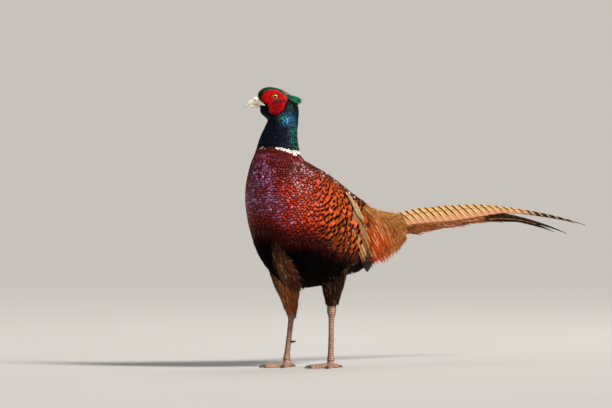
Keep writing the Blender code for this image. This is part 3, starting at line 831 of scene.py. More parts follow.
class Nodes:
    """A node tree with short ways to add and join its nodes."""

    def __init__(self, tree: bpy.types.NodeTree) -> None:
        """Work on a node tree."""
        self.tree = tree

    def add(self, kind: str, *values: object, **settings: object) -> bpy.types.Node:
        """Add a node, set its properties and feed its first sockets.

        Args:
            kind: The node's type.
            values: What its first sockets take.
            settings: Its properties.

        Returns:
            The node.
        """
        node = self.tree.nodes.new(kind)
        for key, value in settings.items():
            setattr(node, key, value)
        for socket, value in zip(node.inputs, values):
            self.feed(socket, value)
        return node

    def feed(self, socket: Socket, value: object) -> None:
        """Join a socket to another, or set its number or colour.

        Args:
            socket: The socket.
            value: Another socket, a number or a colour.
        """
        if isinstance(value, Socket):
            self.tree.links.new(value, socket)
        elif isinstance(value, (tuple, list, np.ndarray)):
            socket.default_value = tuple(value) if len(value) == len(socket.default_value) else (*value, 1)
        else:
            socket.default_value = value

    def read(self, name: str, output: str = "Fac") -> Socket:
        """An attribute of the mesh."""
        return self.add("ShaderNodeAttribute", attribute_name=name).outputs[output]

    def math(self, operation: str, a: object, b: object = 0.0, c: object = 0.0) -> Socket:
        """A sum on up to three numbers."""
        return self.add("ShaderNodeMath", a, b, c, operation=operation).outputs[0]

    def times(self, a: object, b: object) -> Socket:
        """The product of two numbers."""
        return self.math("MULTIPLY", a, b)

    def plus(self, a: object, b: object) -> Socket:
        """The sum of two numbers."""
        return self.math("ADD", a, b)

    def minus(self, a: object, b: object) -> Socket:
        """The first number less the second."""
        return self.math("SUBTRACT", a, b)

    def size(self, a: object) -> Socket:
        """A number without its sign."""
        return self.math("ABSOLUTE", a)

    def line(self, a: object, slope: object, start: object) -> Socket:
        """A number times a slope, on top of a start."""
        return self.math("MULTIPLY_ADD", a, slope, start)

    def step(self, value: object, low: object, high: object, start: float = 0.0, end: float = 1.0) -> Socket:
        """A smooth step between two values, from one result to another."""
        places = value, low, high, start, end
        return self.add("ShaderNodeMapRange", *places, interpolation_type="SMOOTHSTEP").outputs[0]

    def mix(self, share: object, a: object, b: object, blend: str = "MIX") -> Socket:
        """Two colours mixed.

        Args:
            share: The second's share.
            a: The first colour.
            b: The second.
            blend: How they are mixed.

        Returns:
            The colour.
        """
        node = self.add("ShaderNodeMix", data_type="RGBA", blend_type=blend)
        for key, value in (("Factor_Float", share), ("A_Color", a), ("B_Color", b)):
            self.feed(next(s for s in node.inputs if s.identifier == key), value)
        return next(s for s in node.outputs if s.identifier == "Result_Color")

    def shade(self, colour: object, value: object) -> Socket:
        """A colour made darker or lighter by a number."""
        grey = self.add("ShaderNodeCombineColor", value, value, value).outputs[0]
        return self.mix(1.0, colour, grey, "MULTIPLY")

    def cloud(self, place: Socket, scale: float, detail: float) -> Socket:
        """Noise at a place, of a scale and a detail."""
        return self.add("ShaderNodeTexNoise", place, 0.0, scale, detail).outputs["Fac"]

    def grain(self, place: Sequence[object], detail: float = 2.0) -> Socket:
        """Noise at a place given by three numbers."""
        return self.cloud(self.add("ShaderNodeCombineXYZ", *place).outputs[0], 1.0, detail)

    def noise(self, scale: float, detail: float = 3.0, stretch: Sequence[float] = (1, 1, 1)) -> Socket:
        """Noise over the object's own coordinates, stretched by axis."""
        coords, still = self.add("ShaderNodeTexCoord").outputs["Object"], (0, 0, 0)
        return self.cloud(self.add("ShaderNodeMapping", coords, still, still, stretch).outputs[0], scale, detail)

    def relief(self, shader: bpy.types.Node, height: Socket, strength: float, distance: float) -> None:
        """Let a height move the shader's normal.

        Args:
            shader: The shader.
            height: The height.
            strength: The bump's strength.
            distance: Its distance in metres.
        """
        bump = self.add("ShaderNodeBump")
        bump.inputs["Strength"].default_value = strength
        bump.inputs["Distance"].default_value = distance
        self.feed(bump.inputs["Height"], height)
        self.feed(shader.inputs["Normal"], bump.outputs[0])


def group(name: str, inputs: dict[str, str], outputs: dict[str, str]) -> tuple[bpy.types.NodeTree, Nodes]:
    """An empty shader node group with named sockets.

    Args:
        name: The group's name.
        inputs: Socket names and whether each is a Float or a Color.
        outputs: The same for what it puts out.

    Returns:
        The group and its tree.
    """
    tree = bpy.data.node_groups.new(name, "ShaderNodeTree")
    for sockets, way in ((inputs, "INPUT"), (outputs, "OUTPUT")):
        for key, kind in sockets.items():
            tree.interface.new_socket(key, in_out=way, socket_type=f"NodeSocket{kind}")
    return tree, Nodes(tree)


def vane_group() -> bpy.types.NodeTree:
    """The markings of a small feather: its edge or its spot, painted shade toward its root, and its barbs."""
    found = bpy.data.node_groups.get("vane_markings")
    if found:
        return found
    floats = dict.fromkeys(("Along", "Across", "Seed", "Spot", "Amount"), "Float")
    inputs = {**floats, "Tint": "Color", "Edge": "Color"}
    tree, n = group("vane_markings", inputs, {"Color": "Color", "Height": "Float"})
    given = n.add("NodeGroupInput").outputs
    along, across, seed, spotted = (given[key] for key in ("Along", "Across", "Seed", "Spot"))
    rim = n.step(n.line(n.times(across, across), 0.10, along), 0.78, 0.87)
    u = n.math("DIVIDE", n.minus(along, 0.86), 0.085)
    v = n.math("DIVIDE", across, 0.86)
    spot = n.step(n.math("SQRT", n.plus(n.times(u, u), n.times(v, v))), 1.12, 0.9)
    mark = n.times(given["Amount"], n.plus(n.times(rim, n.minus(1.0, spotted)), n.times(spot, spotted)))
    slope = n.minus(along, n.times(n.size(across), 0.35))
    barb = n.grain((n.times(slope, 34.0), n.times(across, 1.2), n.times(seed, 90.0)))
    # Painted shade: the vane darkens toward its root, under the feathers that overlap it; the seed and the barbs vary
    # its tone.
    shade = n.times(n.step(along, 0.15, 0.6, 0.45, 1.0), n.line(seed, 0.5, 0.73))
    shade = n.times(shade, n.line(barb, 0.5, 0.75))
    done = n.add("NodeGroupOutput").inputs
    n.feed(done["Color"], n.shade(n.mix(mark, given["Tint"], given["Edge"]), shade))
    n.feed(done["Height"], barb)
    return tree


class Finish:
    """A material that is painted the first time that a piece is dressed in it."""

    name: str

    def dress(self, piece: Piece) -> Piece:
        """Give a piece this finish, and give the piece back.

        Args:
            piece: The piece.

        Returns:
            The piece.
        """
        material = bpy.data.materials.get(self.name)
        if material is None:
            material = bpy.data.materials.new(self.name)
            material.use_nodes = True
            self.paint(Nodes(material.node_tree), material.node_tree.nodes["Principled BSDF"])
        piece.data.materials.append(material)
        return piece

    def paint(self, n: Nodes, shader: bpy.types.Node) -> None:
        """Feed the shader's sockets.

        Args:
            n: The material's nodes.
            shader: Its Principled shader.
        """
        raise NotImplementedError

    @staticmethod
    def settle(shader: bpy.types.Node, **values: float) -> None:
        """Set constant sockets, with underscores for the spaces in their names.

        Args:
            shader: The shader.
            values: Numbers by socket.
        """
        for key, value in values.items():
            shader.inputs[key.replace("_", " ")].default_value = value


@dataclass(frozen=True)
class Plumage(Finish):
    """The finish of a coat of small feathers, whose colours lie on its mesh."""

    name: str
    roughness: float
    metallic: float = 0.0
    coat: float = 0.0
    relief: float = 0.25
    specular: float = 0.4
    turn: tuple[float, float] = (0.3, 0.9)

    def paint(self, n: Nodes, shader: bpy.types.Node) -> None:
        """Mark every vane, and paint its gloss into the base colour as a sheen where it is seen edge on.

        Args:
            n: The material's nodes.
            shader: Its Principled shader.
        """
        markings = n.add("ShaderNodeGroup", node_tree=vane_group())
        for key in ("along", "across", "seed", "spot", "amount"):
            n.feed(markings.inputs[key.capitalize()], n.read(key))
        n.feed(markings.inputs["Edge"], n.read("edge", "Color"))
        gloss = n.add("ShaderNodeAttribute", attribute_name="gloss").outputs
        facing = n.add("ShaderNodeLayerWeight")
        facing.inputs["Blend"].default_value = 0.42
        # Painted sheen: the tint turns toward the gloss colour where the vane is seen edge on.
        share = n.times(gloss["Alpha"], n.step(facing.outputs["Facing"], *self.turn))
        n.feed(markings.inputs["Tint"], n.mix(share, n.read("tint", "Color"), gloss["Color"]))
        n.feed(shader.inputs["Base Color"], markings.outputs["Color"])
        n.relief(shader, markings.outputs["Height"], self.relief, 0.0004)
        n.feed(shader.inputs["Coat Weight"], n.times(gloss["Alpha"], self.coat))
        self.settle(shader, Coat_Roughness=0.3, Roughness=self.roughness, Metallic=self.metallic,
                    Specular_IOR_Level=self.specular)


@dataclass(frozen=True)
class Mottled(Finish):
    """Plain matter of two mottled colours: lids, claws, the floor."""

    name: str
    dark: tuple[float, float, float]
    light: tuple[float, float, float]
    scale: float
    detail: float
    roughness: float
    relief: float = 0.0

    def paint(self, n: Nodes, shader: bpy.types.Node) -> None:
        """Mix the colours and raise the creases.

        Args:
            n: The material's nodes.
            shader: Its Principled shader.
        """
        mottle = n.noise(self.scale, self.detail)
        n.feed(shader.inputs["Base Color"], n.mix(mottle, srgb(*self.dark), srgb(*self.light)))
        if self.relief:
            n.relief(shader, mottle, self.relief, 0.0002)
        self.settle(shader, Roughness=self.roughness)


@dataclass(frozen=True)
class Scutes(Finish):
    """Pinkish, greyed scutes with dark joints."""

    name: str = "pink_grey_scutes"

    def paint(self, n: Nodes, shader: bpy.types.Node) -> None:
        """Darken the grooves that lie on the mesh.

        Args:
            n: The material's nodes.
            shader: Its Principled shader.
        """
        colour = n.mix(n.step(n.noise(220, 4), 0.3, 0.7), srgb(146, 104, 80), srgb(184, 142, 116))
        colour = n.mix(n.times(n.read("groove"), 0.85), colour, srgb(66, 38, 30))
        n.feed(shader.inputs["Base Color"], colour)
        n.relief(shader, n.noise(2400, 3), 0.3, 0.0002)
        self.settle(shader, Roughness=0.55)


@dataclass(frozen=True)
class Scarlet(Finish):
    """Matt scarlet skin, darker between its beads."""

    name: str = "beaded_scarlet_skin"

    def paint(self, n: Nodes, shader: bpy.types.Node) -> None:
        """Colour the beads, the blotches and the shaded fold.

        Args:
            n: The material's nodes.
            shader: Its Principled shader.
        """
        red = n.mix(n.step(n.read("bead"), 0.0, 0.75), srgb(112, 0, 2), srgb(214, 4, 2))
        red = n.mix(n.step(n.noise(160, 3), 0.35, 0.7), red, n.mix(0.5, red, srgb(170, 8, 10)))
        red = n.mix(n.times(n.read("shade"), 0.6), red, srgb(84, 4, 8))
        n.feed(shader.inputs["Base Color"], red)
        n.relief(shader, n.noise(2600, 2), 0.3, 0.0002)
        self.settle(shader, Roughness=0.55, Specular_IOR_Level=0.08)


@dataclass(frozen=True)
class WetEye(Finish):
    """Wet eye: black pupil, amber iris with fine rays, browner toward its rim and dark at its edge."""

    name: str = "amber_eye"
    pupil: tuple[float, float] = (2.3, 2.1)
    rim: tuple[float, float] = (3.3, 3.9)
    edge: tuple[float, float] = (4.05, 4.25)

    def paint(self, n: Nodes, shader: bpy.types.Node) -> None:
        """Colour the eye by distance from its middle.

        Args:
            n: The material's nodes.
            shader: Its Principled shader.
        """
        off, turn = n.read("iris"), n.read("turn")
        rays = n.grain((n.times(n.math("SINE", turn), 9.0), n.times(n.math("COSINE", turn), 9.0), n.times(off, 0.6)))
        amber = n.mix(rays, srgb(206, 104, 16), srgb(246, 178, 60))
        amber = n.mix(n.step(off, *self.rim), amber, srgb(150, 60, 10))
        amber = n.mix(n.step(off, *self.edge), amber, srgb(20, 10, 8))
        n.feed(shader.inputs["Base Color"], n.mix(n.step(off, *self.pupil), amber, (0.002, 0.002, 0.002, 1)))
        self.settle(shader, Roughness=0.08, Coat_Weight=1.0, Coat_Roughness=0.02)


@dataclass(frozen=True)
class CreamHorn(Finish):
    """Cream horn, a little darker at the base, with painted shade in its nostrils."""

    name: str = "cream_horn"

    def paint(self, n: Nodes, shader: bpy.types.Node) -> None:
        """Streak the horn along the bill.

        Args:
            n: The material's nodes.
            shader: Its Principled shader.
        """
        streak = n.noise(420, 4, (1, 1, 0.35))
        colour = n.mix(n.read("reach"), srgb(244, 236, 212), srgb(255, 250, 236))
        colour = n.mix(n.step(streak, 0.5, 0.8), colour, srgb(214, 200, 168))
        # The nostrils are painted dark as the shade inside their openings.
        n.feed(shader.inputs["Base Color"], n.mix(n.read("nostril"), colour, srgb(36, 22, 16)))
        n.relief(shader, streak, 0.25, 0.0003)
        self.settle(shader, Roughness=0.38, Subsurface_Weight=0.1, Subsurface_Scale=0.002)


@dataclass(frozen=True)
class DownAndSkin(Finish):
    """The skin and its down, in the colours of the feathers over it, darkened as painted shade under the coat."""

    name: str = "down_and_skin"

    def paint(self, n: Nodes, shader: bpy.types.Node) -> None:
        """Fleck the colours that lie on the mesh.

        Args:
            n: The material's nodes.
            shader: Its Principled shader.
        """
        fleck = n.noise(900, 4)
        n.feed(shader.inputs["Base Color"], n.shade(n.read("tint", "Color"), n.step(fleck, 0.3, 0.7, 0.6, 1.3)))
        n.relief(shader, fleck, 0.6, 0.0006)
        self.settle(shader, Roughness=0.8)


SATIN = Plumage("satin_body_feathers", 0.5, 0.0, 0.6, 0.25, 0.04)
MATT = Plumage("matt_belly_feathers", 0.85, 0.0, 0.0, 0.3, 0.02)
SOFT = Plumage("soft_down_feathers", 0.65, 0.0, 0.05, 0.3, 0.08)
GLOSS = Plumage("glossy_neck_feathers", 0.4, 0.2, 0.45, 0.2, 0.12, (-0.6, 0.7))
LID_SKIN = Mottled("lid_skin", (196, 120, 70), (226, 178, 120), 1800, 3, 0.55, 0.4)
DARK_HORN = Mottled("dark_horn", (40, 30, 24), (92, 74, 58), 900, 3, 0.4)
PALE_FLOOR = Mottled("pale_floor", (188, 186, 183), (194, 192, 189), 3, 2, 0.8)


def plain_look(tint: Array, gloss: Array, edge: Array | None = None, amount: float = 0.0) -> Look:
    """The colours of feathers that have no spots.

    Args:
        tint: Their colours, one row each.
        gloss: The gloss of all or one row each, its share last.
        edge: The colours of their edges, where these differ.
        amount: How much of the edge shows.

    Returns:
        Tint, edge, gloss, spot and amount for each feather.
    """
    count = len(tint)
    gloss = gloss if gloss.ndim > 1 else np.tile(gloss, (count, 1))
    return {"tint": tint, "edge": tint if edge is None else edge, "spot": np.zeros(count),
            "amount": np.full(count, amount), "gloss": gloss}


COPPER, MAROON, GOLD, PLUM_SHADE = srgb(166, 38, 10), srgb(104, 20, 13), srgb(190, 80, 2), srgb(62, 12, 16)
EMBER, OXBLOOD, BELLY_BLACK_AND_SHADE, VENT = srgb(224, 84, 30), srgb(66, 9, 8), srgb(5, 2, 2), srgb(10, 5, 4)
THIGH_BROWN, THIGH_BUFF = srgb(112, 62, 38), srgb(176, 124, 80)
MANTLE, MANTLE_RUST, MANTLE_SPECK = srgb(64, 22, 16), srgb(122, 48, 22), srgb(220, 200, 172)
RUMP_RUST, RUMP_OLIVE, RUMP_BUFF = srgb(214, 84, 20), srgb(186, 128, 58), srgb(178, 112, 44)
RUMP_BROWN, RUMP_SHADE, RUMP_STREAK = srgb(112, 44, 16), srgb(34, 12, 8), srgb(232, 186, 122)
COLLAR, DARK_EDGE, HEAD_EDGE = srgb(244, 242, 234), srgb(6, 2, 5), srgb(2, 4, 6)
ROSE_GLINT, PINK_HIGHLIGHT, GLOW_SHINE = srgb(206, 122, 122), srgb(232, 176, 176), srgb(236, 130, 60)
WINE, VIOLET_SHEEN_TINT, LILAC_GLINT = srgb(126, 46, 76), srgb(176, 108, 150), srgb(214, 176, 200)
VIOLET_SHINE, PINK_SHINE = srgb(180, 116, 160), srgb(236, 176, 178)
NAVY, JET, CHEEK, NAPE_BLUE = srgb(3, 8, 26), srgb(2, 3, 6), srgb(30, 62, 48), srgb(4, 16, 30)
MOSS, SKY, TEAL = srgb(30, 120, 70), srgb(56, 134, 190), srgb(16, 84, 92)
EMERALD, CROWN = srgb(30, 124, 84), srgb(30, 74, 46)
BARE_THIGH, TUFT, TUFT_SHINE = srgb(60, 30, 18), srgb(20, 92, 62), srgb(44, 176, 124)
LORE_TEAL, LORE_BLACK, LORE_SHINE = srgb(40, 84, 96), srgb(6, 8, 12), srgb(40, 100, 120)
NAVY_SHINE, GREEN_SHINE = srgb(14, 40, 110), srgb(40, 170, 130)
SKY_SHINE, CROWN_SHINE = srgb(80, 176, 226), srgb(226, 178, 160)


@dataclass
class Markings:
    """The colours of the plumage over the whole bird, shared by skin and coat."""

    bird: Bird
    collar_height: float = 318.2
    collar_sag: float = 7.0
    coat_lift: float = 4.6

    def body(self, points: Array, place: Array, angle: Array, seed: int = 1) -> Look:
        """Colours of trunk and neck.

        Args:
            points: Points on the form.
            place: Places along it.
            angle: Angles round it from the back, in radians.
            seed: Seed of the chance differences.

        Returns:
            Tint, edge, gloss, spot, amount and share of the thigh for each point.
        """
        rng = np.random.default_rng(seed)
        x, y, z = self.bird.mm(points).T
        a, q = from_back(angle), np.abs(x) + y
        one = np.ones_like(x)
        chance = rng.uniform(0, 1, len(x))
        floor, leg = self.dark_line(q), thigh_patch(x, y, z)
        tint = self.breast(q, z, floor)
        brown = THIGH_BROWN * rng.uniform(0.3, 1.35, (len(x), 1)) * (1 - 0.6 * ramp(z, 158, 186))[:, None]
        brown[(chance < 0.16) & (z < 176)] = THIGH_BUFF
        tint = toward(tint, brown, leg)
        tint = toward(tint, VENT, ramp(a, 132, 152) * ramp(place, 7.2, 6.0))
        limit = 42 + 14 * ramp(place, 6.6, 5.3)
        back = ramp(a, limit + 7, limit - 7) * ramp(place, 4.0, 4.4)
        mantle = toward(one[:, None] * MANTLE, MANTLE_RUST, chance)
        tint = toward(tint, mantle, back * ramp(place, 12.0, 11.0))
        start = np.interp(a, *RUMP_START)
        rump = ramp(place, start, start - 0.25)
        tint = toward(tint, self.rump(a, q, chance), rump * (1 - ramp(a, 140, 160) * 0.5))
        height, thick = z - self.coat_lift, 1.2 + 1.7 * ramp(a, 142, 92)
        middle = self.collar_height - self.collar_sag * ramp(a, 142, 78)
        neck = ramp(height, middle + thick - 0.6, middle + thick + 0.6)
        dark, patches = self.neck_tint(points, chance)
        tint = toward(tint, dark, neck)
        collar = 1.0 * ((np.abs(height - middle) < thick) & ((a < 143) | ((a > 168) & (chance < 0.25))))
        tint = toward(tint, COLLAR, collar)
        edge = one[:, None] * DARK_EDGE
        speck = (chance < 0.13) & (back > 0.5) & (place < 8)
        edge[speck] = MANTLE_SPECK
        spot = np.where(speck, 1.0, ramp(q, -12, 12) * ramp(z, 312, 292) * (1 - neck))
        black = ramp(z, floor - 2, floor - 28)
        amount = 0.86 + 0.12 * spot + 0.02 * rng.uniform(0, 1, len(x))
        amount = amount * (1 - 0.9 * black) * (1 - rump) * (1 - leg)
        amount = amount * (1 - 0.4 * ramp(z, 292, 306) * (1 - back))
        amount = amount * (1 - neck) * (1 - collar) + neck * 0.3 * (1 - collar)
        other = rng.uniform(0, 1, len(x))
        # Painted sheen: rose glints and pink highlights on single feathers, and the wine, violet and lilac feathers of
        # the violet band, are mixed into the tint.
        violet, pink, glint = self.sheens(q, z, floor, 1 - back, other)
        tint = toward(tint, ROSE_GLINT, glint * ramp(other, 0.84, 0.9) * 0.8)
        for colour, share in (
            (PINK_HIGHLIGHT, 0.8 * pink * ramp(chance, 0.62, 0.78)), (WINE, 0.85 * violet * ramp(chance, 0.02, 0.2)),
            (VIOLET_SHEEN_TINT, 0.85 * violet * ramp(chance, 0.45, 0.6)), (LILAC_GLINT, 0.9 * violet * ramp(chance, 0.9, 0.96)),
        ):
            tint = toward(tint, colour, share)
        shine = toward(toward(one[:, None] * GLOW_SHINE, VIOLET_SHINE, violet), PINK_SHINE, pink * 0.8)
        share = 0.08 * one + (0.25 + 0.75 * chance) * np.maximum(0.75 * violet, 0.7 * pink)
        gloss = toward(np.concatenate([shine, share[:, None]], 1), patches, neck * (1 - collar))
        gloss[:, 3] *= (1 - collar) * (1 - rump) * (1 - leg) * (1 - black * (1 - neck))
        return {"tint": tint, "edge": edge, "gloss": gloss, "spot": spot, "amount": amount, "leg": leg}

    @staticmethod
    def breast(q: Array, z: Array, floor: Array) -> Array:
        """Copper of the breast, gold of the flank and black of the belly, with painted shade and a painted lit patch.

        Args:
            q: How far back on the flank, in millimetres.
            z: Heights.
            floor: Heights at which the black begins.

        Returns:
            One colour a point.
        """
        tint = np.ones_like(q)[:, None] * COPPER
        tint = toward(tint, MAROON, ramp(z, 262, 300))
        tint = toward(tint, GOLD, ramp(q, -8, 36) * ramp(z, 312, 282))
        # Painted shade: the lower front of the breast darkens toward plum, on both sides alike.
        tint = toward(tint, PLUM_SHADE, 0.6 * ramp(q, -84, -110) * ramp(z, 276, 244))
        # A brighter, more orange patch on the lower breast's side: partly the copper's own orange and partly painted
        # light.
        tint = toward(tint, EMBER, 0.6 * bell((q, -10, 26), (z, 244, 26)))
        tint = tint * (1 - 0.28 * ramp(z, 256, 286) * ramp(q, 4, 34))[:, None]
        # Partly the belly's own black and partly painted shade under the body: oxblood above the dark line, near black
        # below it.
        tint = toward(tint, OXBLOOD, ramp(z, floor + 22, floor - 8))
        return toward(tint, BELLY_BLACK_AND_SHADE, ramp(z, floor - 2, floor - 30) * (1 - 0.45 * ramp(q, 54, 84)))

    @staticmethod
    def rump(a: Array, q: Array, chance: Array) -> Array:
        """Streaked rust and olive of the rump's loose feathers.

        Args:
            a: Degrees from the back.
            q: How far back, in millimetres.
            chance: A random number for each point.

        Returns:
            One colour a point.
        """
        high = toward(np.ones_like(q)[:, None] * RUMP_RUST, RUMP_OLIVE, ramp(a, 78, 34) * 0.9)
        high = toward(high, RUMP_BUFF, ramp(q, 128, 165) * 0.85)
        high = toward(high, RUMP_BROWN, ramp(a, 108, 134))
        high = toward(high, RUMP_SHADE, ramp(a, 102, 120) * ramp(q, 130, 106))
        high = high * (0.48 + 0.95 * chance)[:, None]
        high[(chance > 0.88) & (a < 108)] = RUMP_STREAK
        return high

    @staticmethod
    def sheens(q: Array, z: Array, floor: Array, front: Array, other: Array) -> tuple[Array, Array, Array]:
        """Where painted sheen lies on the breast: a violet band, pink highlights and rose glints.

        Args:
            q: How far back on the flank, in millimetres.
            z: Heights.
            floor: Heights at which the black begins.
            front: How much a point is off the mantle.
            other: A random number for each point.

        Returns:
            The three shares.
        """
        drift = np.abs(q + 26 * (other - 0.5) - np.interp(z, (228, 306), (-75, -117)))
        violet = np.exp(-(np.maximum(drift - 9 - 9 * ramp(z, 272, 296), 0) / 13) ** 2)
        violet = (0.04 + 0.96 * violet) * ramp(z, floor, floor + 34) * front * ramp(z, 322, 306)
        pink = bell((q, -20, 19), (z, 280, 24)) * front
        glint = bell((q, -40, 46), (z, 250, 40)) * front
        return violet, pink, glint * ramp(z, floor + 8, floor + 28) * ramp(q, 26, 4)

    @staticmethod
    def dark_line(q: Array) -> Array:
        """Height in millimetres at which the breast turns black, by how far back the flank is."""
        return 204 + 12 * ramp(q, -50, -90) - 34 * ramp(q, 0, 75)

    def neck_tint(self, points: Array, chance: Array) -> tuple[Array, Array]:
        """Colours shared by the neck and the feathered head, with painted iridescent sheen.

        Args:
            points: Points on either.
            chance: A random number for each.

        Returns:
            The tint and the gloss.
        """
        x, y, z = self.bird.in_head(points).T
        side = ramp(np.abs(x), 4, 10)
        tint = np.ones_like(x)[:, None] * NAVY
        tint = toward(tint, JET, ramp(z, -14, 10) * ramp(y, -6, -14))
        green = bell((y, -1.5, 5), (z, 6, 5)) * side
        blue = bell((y, 8, 7.5), (z, 3.5, 7.5)) * side
        teal = ramp(y, 4, 14) * ramp(z, 2, -8)
        left = ramp(y, -14, -26) * ramp(z, -8, -20)
        nape = ramp(y, 9, 17) * ramp(z, -22, -34)
        crown = ramp(z, 34, 39) * ramp(y, 18, 8)
        lively = 0.08 + 1.3 * ramp(chance, 0.36, 0.6)
        # The moss, sky and teal patches are partly the neck's own iridescent green and blue and partly painted sheen,
        # fixed in the tint.
        for colour, share in (
            (MOSS, green * lively), (SKY, blue * lively * 1.2), (CHEEK, bell((y, 9, 7), (z, 20, 7)) * 0.7),
            (TEAL, teal * (1.4 * ramp(chance, 0.5, 0.8) - 0.1)),
            (EMERALD, nape * (1.3 * ramp(chance, 0.35, 0.7) - 0.1)),
            (NAPE_BLUE, left * lively * 0.3), (CROWN, crown),
        ):
            tint = toward(tint, colour, np.clip(share, 0, 1))
        shine = toward(np.ones_like(x)[:, None] * NAVY_SHINE, GREEN_SHINE, np.clip(green + teal * 0.8, 0, 1))
        shine = toward(toward(shine, SKY_SHINE, blue), CROWN_SHINE, crown * ramp(y, -8, 2))
        share = 0.06 + 0.5 * np.clip(green + blue + 0.3 * teal + 1.5 * crown * ramp(y, -12, 2), 0, 1) * lively
        return tint, np.concatenate([shine, np.clip(share, 0, 0.9)[:, None]], 1)

    def head(self, points: Array, seed: int = 2) -> Look:
        """Colours of the head's small feathers, with a seed of the chance differences.

        Args:
            points: Points on the head.
            seed: Seed of the chance differences.

        Returns:
            Tint, edge, gloss, spot and amount for each point.
        """
        chance = np.random.default_rng(seed).uniform(0, 1, len(points))
        tint, gloss = self.neck_tint(points, chance)
        return plain_look(tint, gloss, np.ones_like(tint) * HEAD_EDGE, 0.3)


def thigh_patch(x: Array, y: Array, z: Array) -> Array:
    """How far a point of the trunk, in millimetres, belongs to the right thigh's feathering.

    Args:
        x: Places across.
        y: Places along.
        z: Heights.

    Returns:
        Numbers from 0 to 1.
    """
    middle = np.interp(z, (100, 123, 157, 188), (-38, -44, -58, -75))
    reach = np.interp(z, (123, 157, 188, 198), (19, 15, 7, 3))
    return ramp(np.abs(x + y - middle), reach + 8, reach - 6) * ramp(z, 200, 180) * ramp(y, -36, -52)


def trunk_pitch(bird: Bird, points: Array, place: Array, angle: Array) -> Array:
    """Spacing of the body feathers in metres.

    Args:
        bird: The bird.
        points: Points on the trunk.
        place: Places along it.
        angle: Angles round it from the back, in radians.

    Returns:
        One spacing a point.
    """
    x, y, z = np.moveaxis(bird.mm(points), -1, 0)
    a, q = from_back(angle), np.abs(x) + y
    start = np.interp(a, *RUMP_START)
    size = 4.2 + 1.3 * ramp(z, 260, 205) + 6.2 * ramp(q, -24, 46) * ramp(z, 312, 272)
    for other, share in ((6.8, ramp(a, 64, 44)), (3.2, ramp(place, start, start - 0.25)),
                         (2.2, ramp(z, 306, 318)), (2.9, thigh_patch(x, y, z))):
        size = size + (other - size) * share
    return size * MM


@dataclass
class Skin:
    """One seamless skin under the coat, from the tail root to the face and the hocks."""

    bird: Bird
    markings: Markings
    voxel: float = 2.2
    quick_voxel: float = 3.2
    head_depth: float = 0.9
    throat_drop: float = 8.0
    thigh_depth: float = 1.6
    hock_depth: float = 2.2
    shade: float = 0.55

    def build(self) -> Piece:
        """Join the forms and remesh them as one skin."""
        trunk, head = self.bird.trunk, self.bird.head
        places, angles = np.linspace(0, trunk.last, 90)[:, None], circle(56)[None]
        grid = trunk.at(places, angles)
        deep = 0.6 * MM + 0.25 * trunk_pitch(self.bird, grid, *np.broadcast_arrays(places, angles))
        forms = [closed_tube("skin", grid - trunk.normal(places, angles) * deep[..., None])]
        places = np.linspace(0, head.last, 60)[:, None]
        grid = head.at(places, angles) - head.normal(places, angles) * self.head_depth * MM
        grid[0] -= np.array((0, 0, self.throat_drop * MM))
        forms.append(closed_tube("head_form", grid))
        forms += [self.thigh(side) for side in THIGHS]
        forms += [self.shoulder(side) for side in (1, -1)]
        return as_one(forms, "skin", self.quick_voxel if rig.quick() else self.voxel, ease=5)

    def thigh(self, side: int) -> Piece:
        """The form of one thigh, 1 for the bird's left and -1 for its right.

        Args:
            side: The side.

        Returns:
            A closed form.
        """
        rings = []
        for t in np.linspace(0, 5, 30):
            x, y, z, across, along = (np.interp(t, range(6), column) for column in zip(*THIGHS[side]))
            inset = self.thigh_depth if t < 4.9 else self.hock_depth
            wide, deep = across - inset, along - inset
            rings.append([(side * x + wide * math.sin(b), y + deep * math.cos(b), z) for b in circle(56)])
        return closed_tube("thigh_form", self.bird.world(np.array(rings)))

    def shoulder(self, side: int) -> Piece:
        """The folded wing's bulk under the flank feathers.

        Args:
            side: 1 for the bird's left, -1 for its right.

        Returns:
            A closed form.
        """
        rings, share = [], np.linspace(0, 1, 12)
        for t in np.linspace(0, 1, 16):
            low, high = 92 + 10 * t, 62 - 30 * math.sin(math.pi * min(1, t * 0.8 + 0.1))
            where = 8.6 - 3.3 * t, np.radians(high + (low - high) * share)
            swell = 2.6 * math.sin(math.pi * min(1, 0.1 + t * 0.85)) * np.sin(math.pi * share) ** 0.7
            base, normal = self.bird.trunk.at(*where), self.bird.trunk.normal(*where)
            over = base + normal * (swell[:, None] - 1.0) * MM
            rings.append(np.concatenate([over, (base - normal * 7 * MM)[::-1]]))
        return closed_tube("shoulder_form", np.array(rings) * (side, 1, 1))

    def dress(self, skin: Piece) -> None:
        """Paint the skin with the plumage's colours and give it its finish.

        Args:
            skin: The skin.
        """
        points = points_of(skin)
        x, _, z = self.bird.mm(points).T
        grid = np.meshgrid(np.linspace(0, self.bird.trunk.last, 113), circle(72), indexing="ij")
        near = nearest(self.bird.trunk.at(*grid).reshape(-1, 3), points)
        place, angle = (part.ravel()[near] for part in grid)
        tint = self.markings.body(points, place, angle)["tint"]
        tint = toward(tint, self.markings.head(points)["tint"], ramp(z, 358, 362))
        tint = toward(tint, BARE_THIGH, ramp(z, 150, 135) * ramp(np.abs(x), 12, 20))
        # The plumage's colours darkened as painted shade of the coat over the skin.
        set_attribute(skin, "tint", tint * self.shade)
        set_uv(skin, "OFBake", np.stack([angle / (2 * math.pi), place / self.bird.trunk.last], 1))
        DownAndSkin().dress(skin)


@dataclass
class Kind:
    """A coat piece of the trunk: its roots, and its feathers' sizes as shares of their pitch."""

    name: str
    mask: Array
    finish: Plumage
    outline: Outline
    long: float
    wide: float
    rise: float


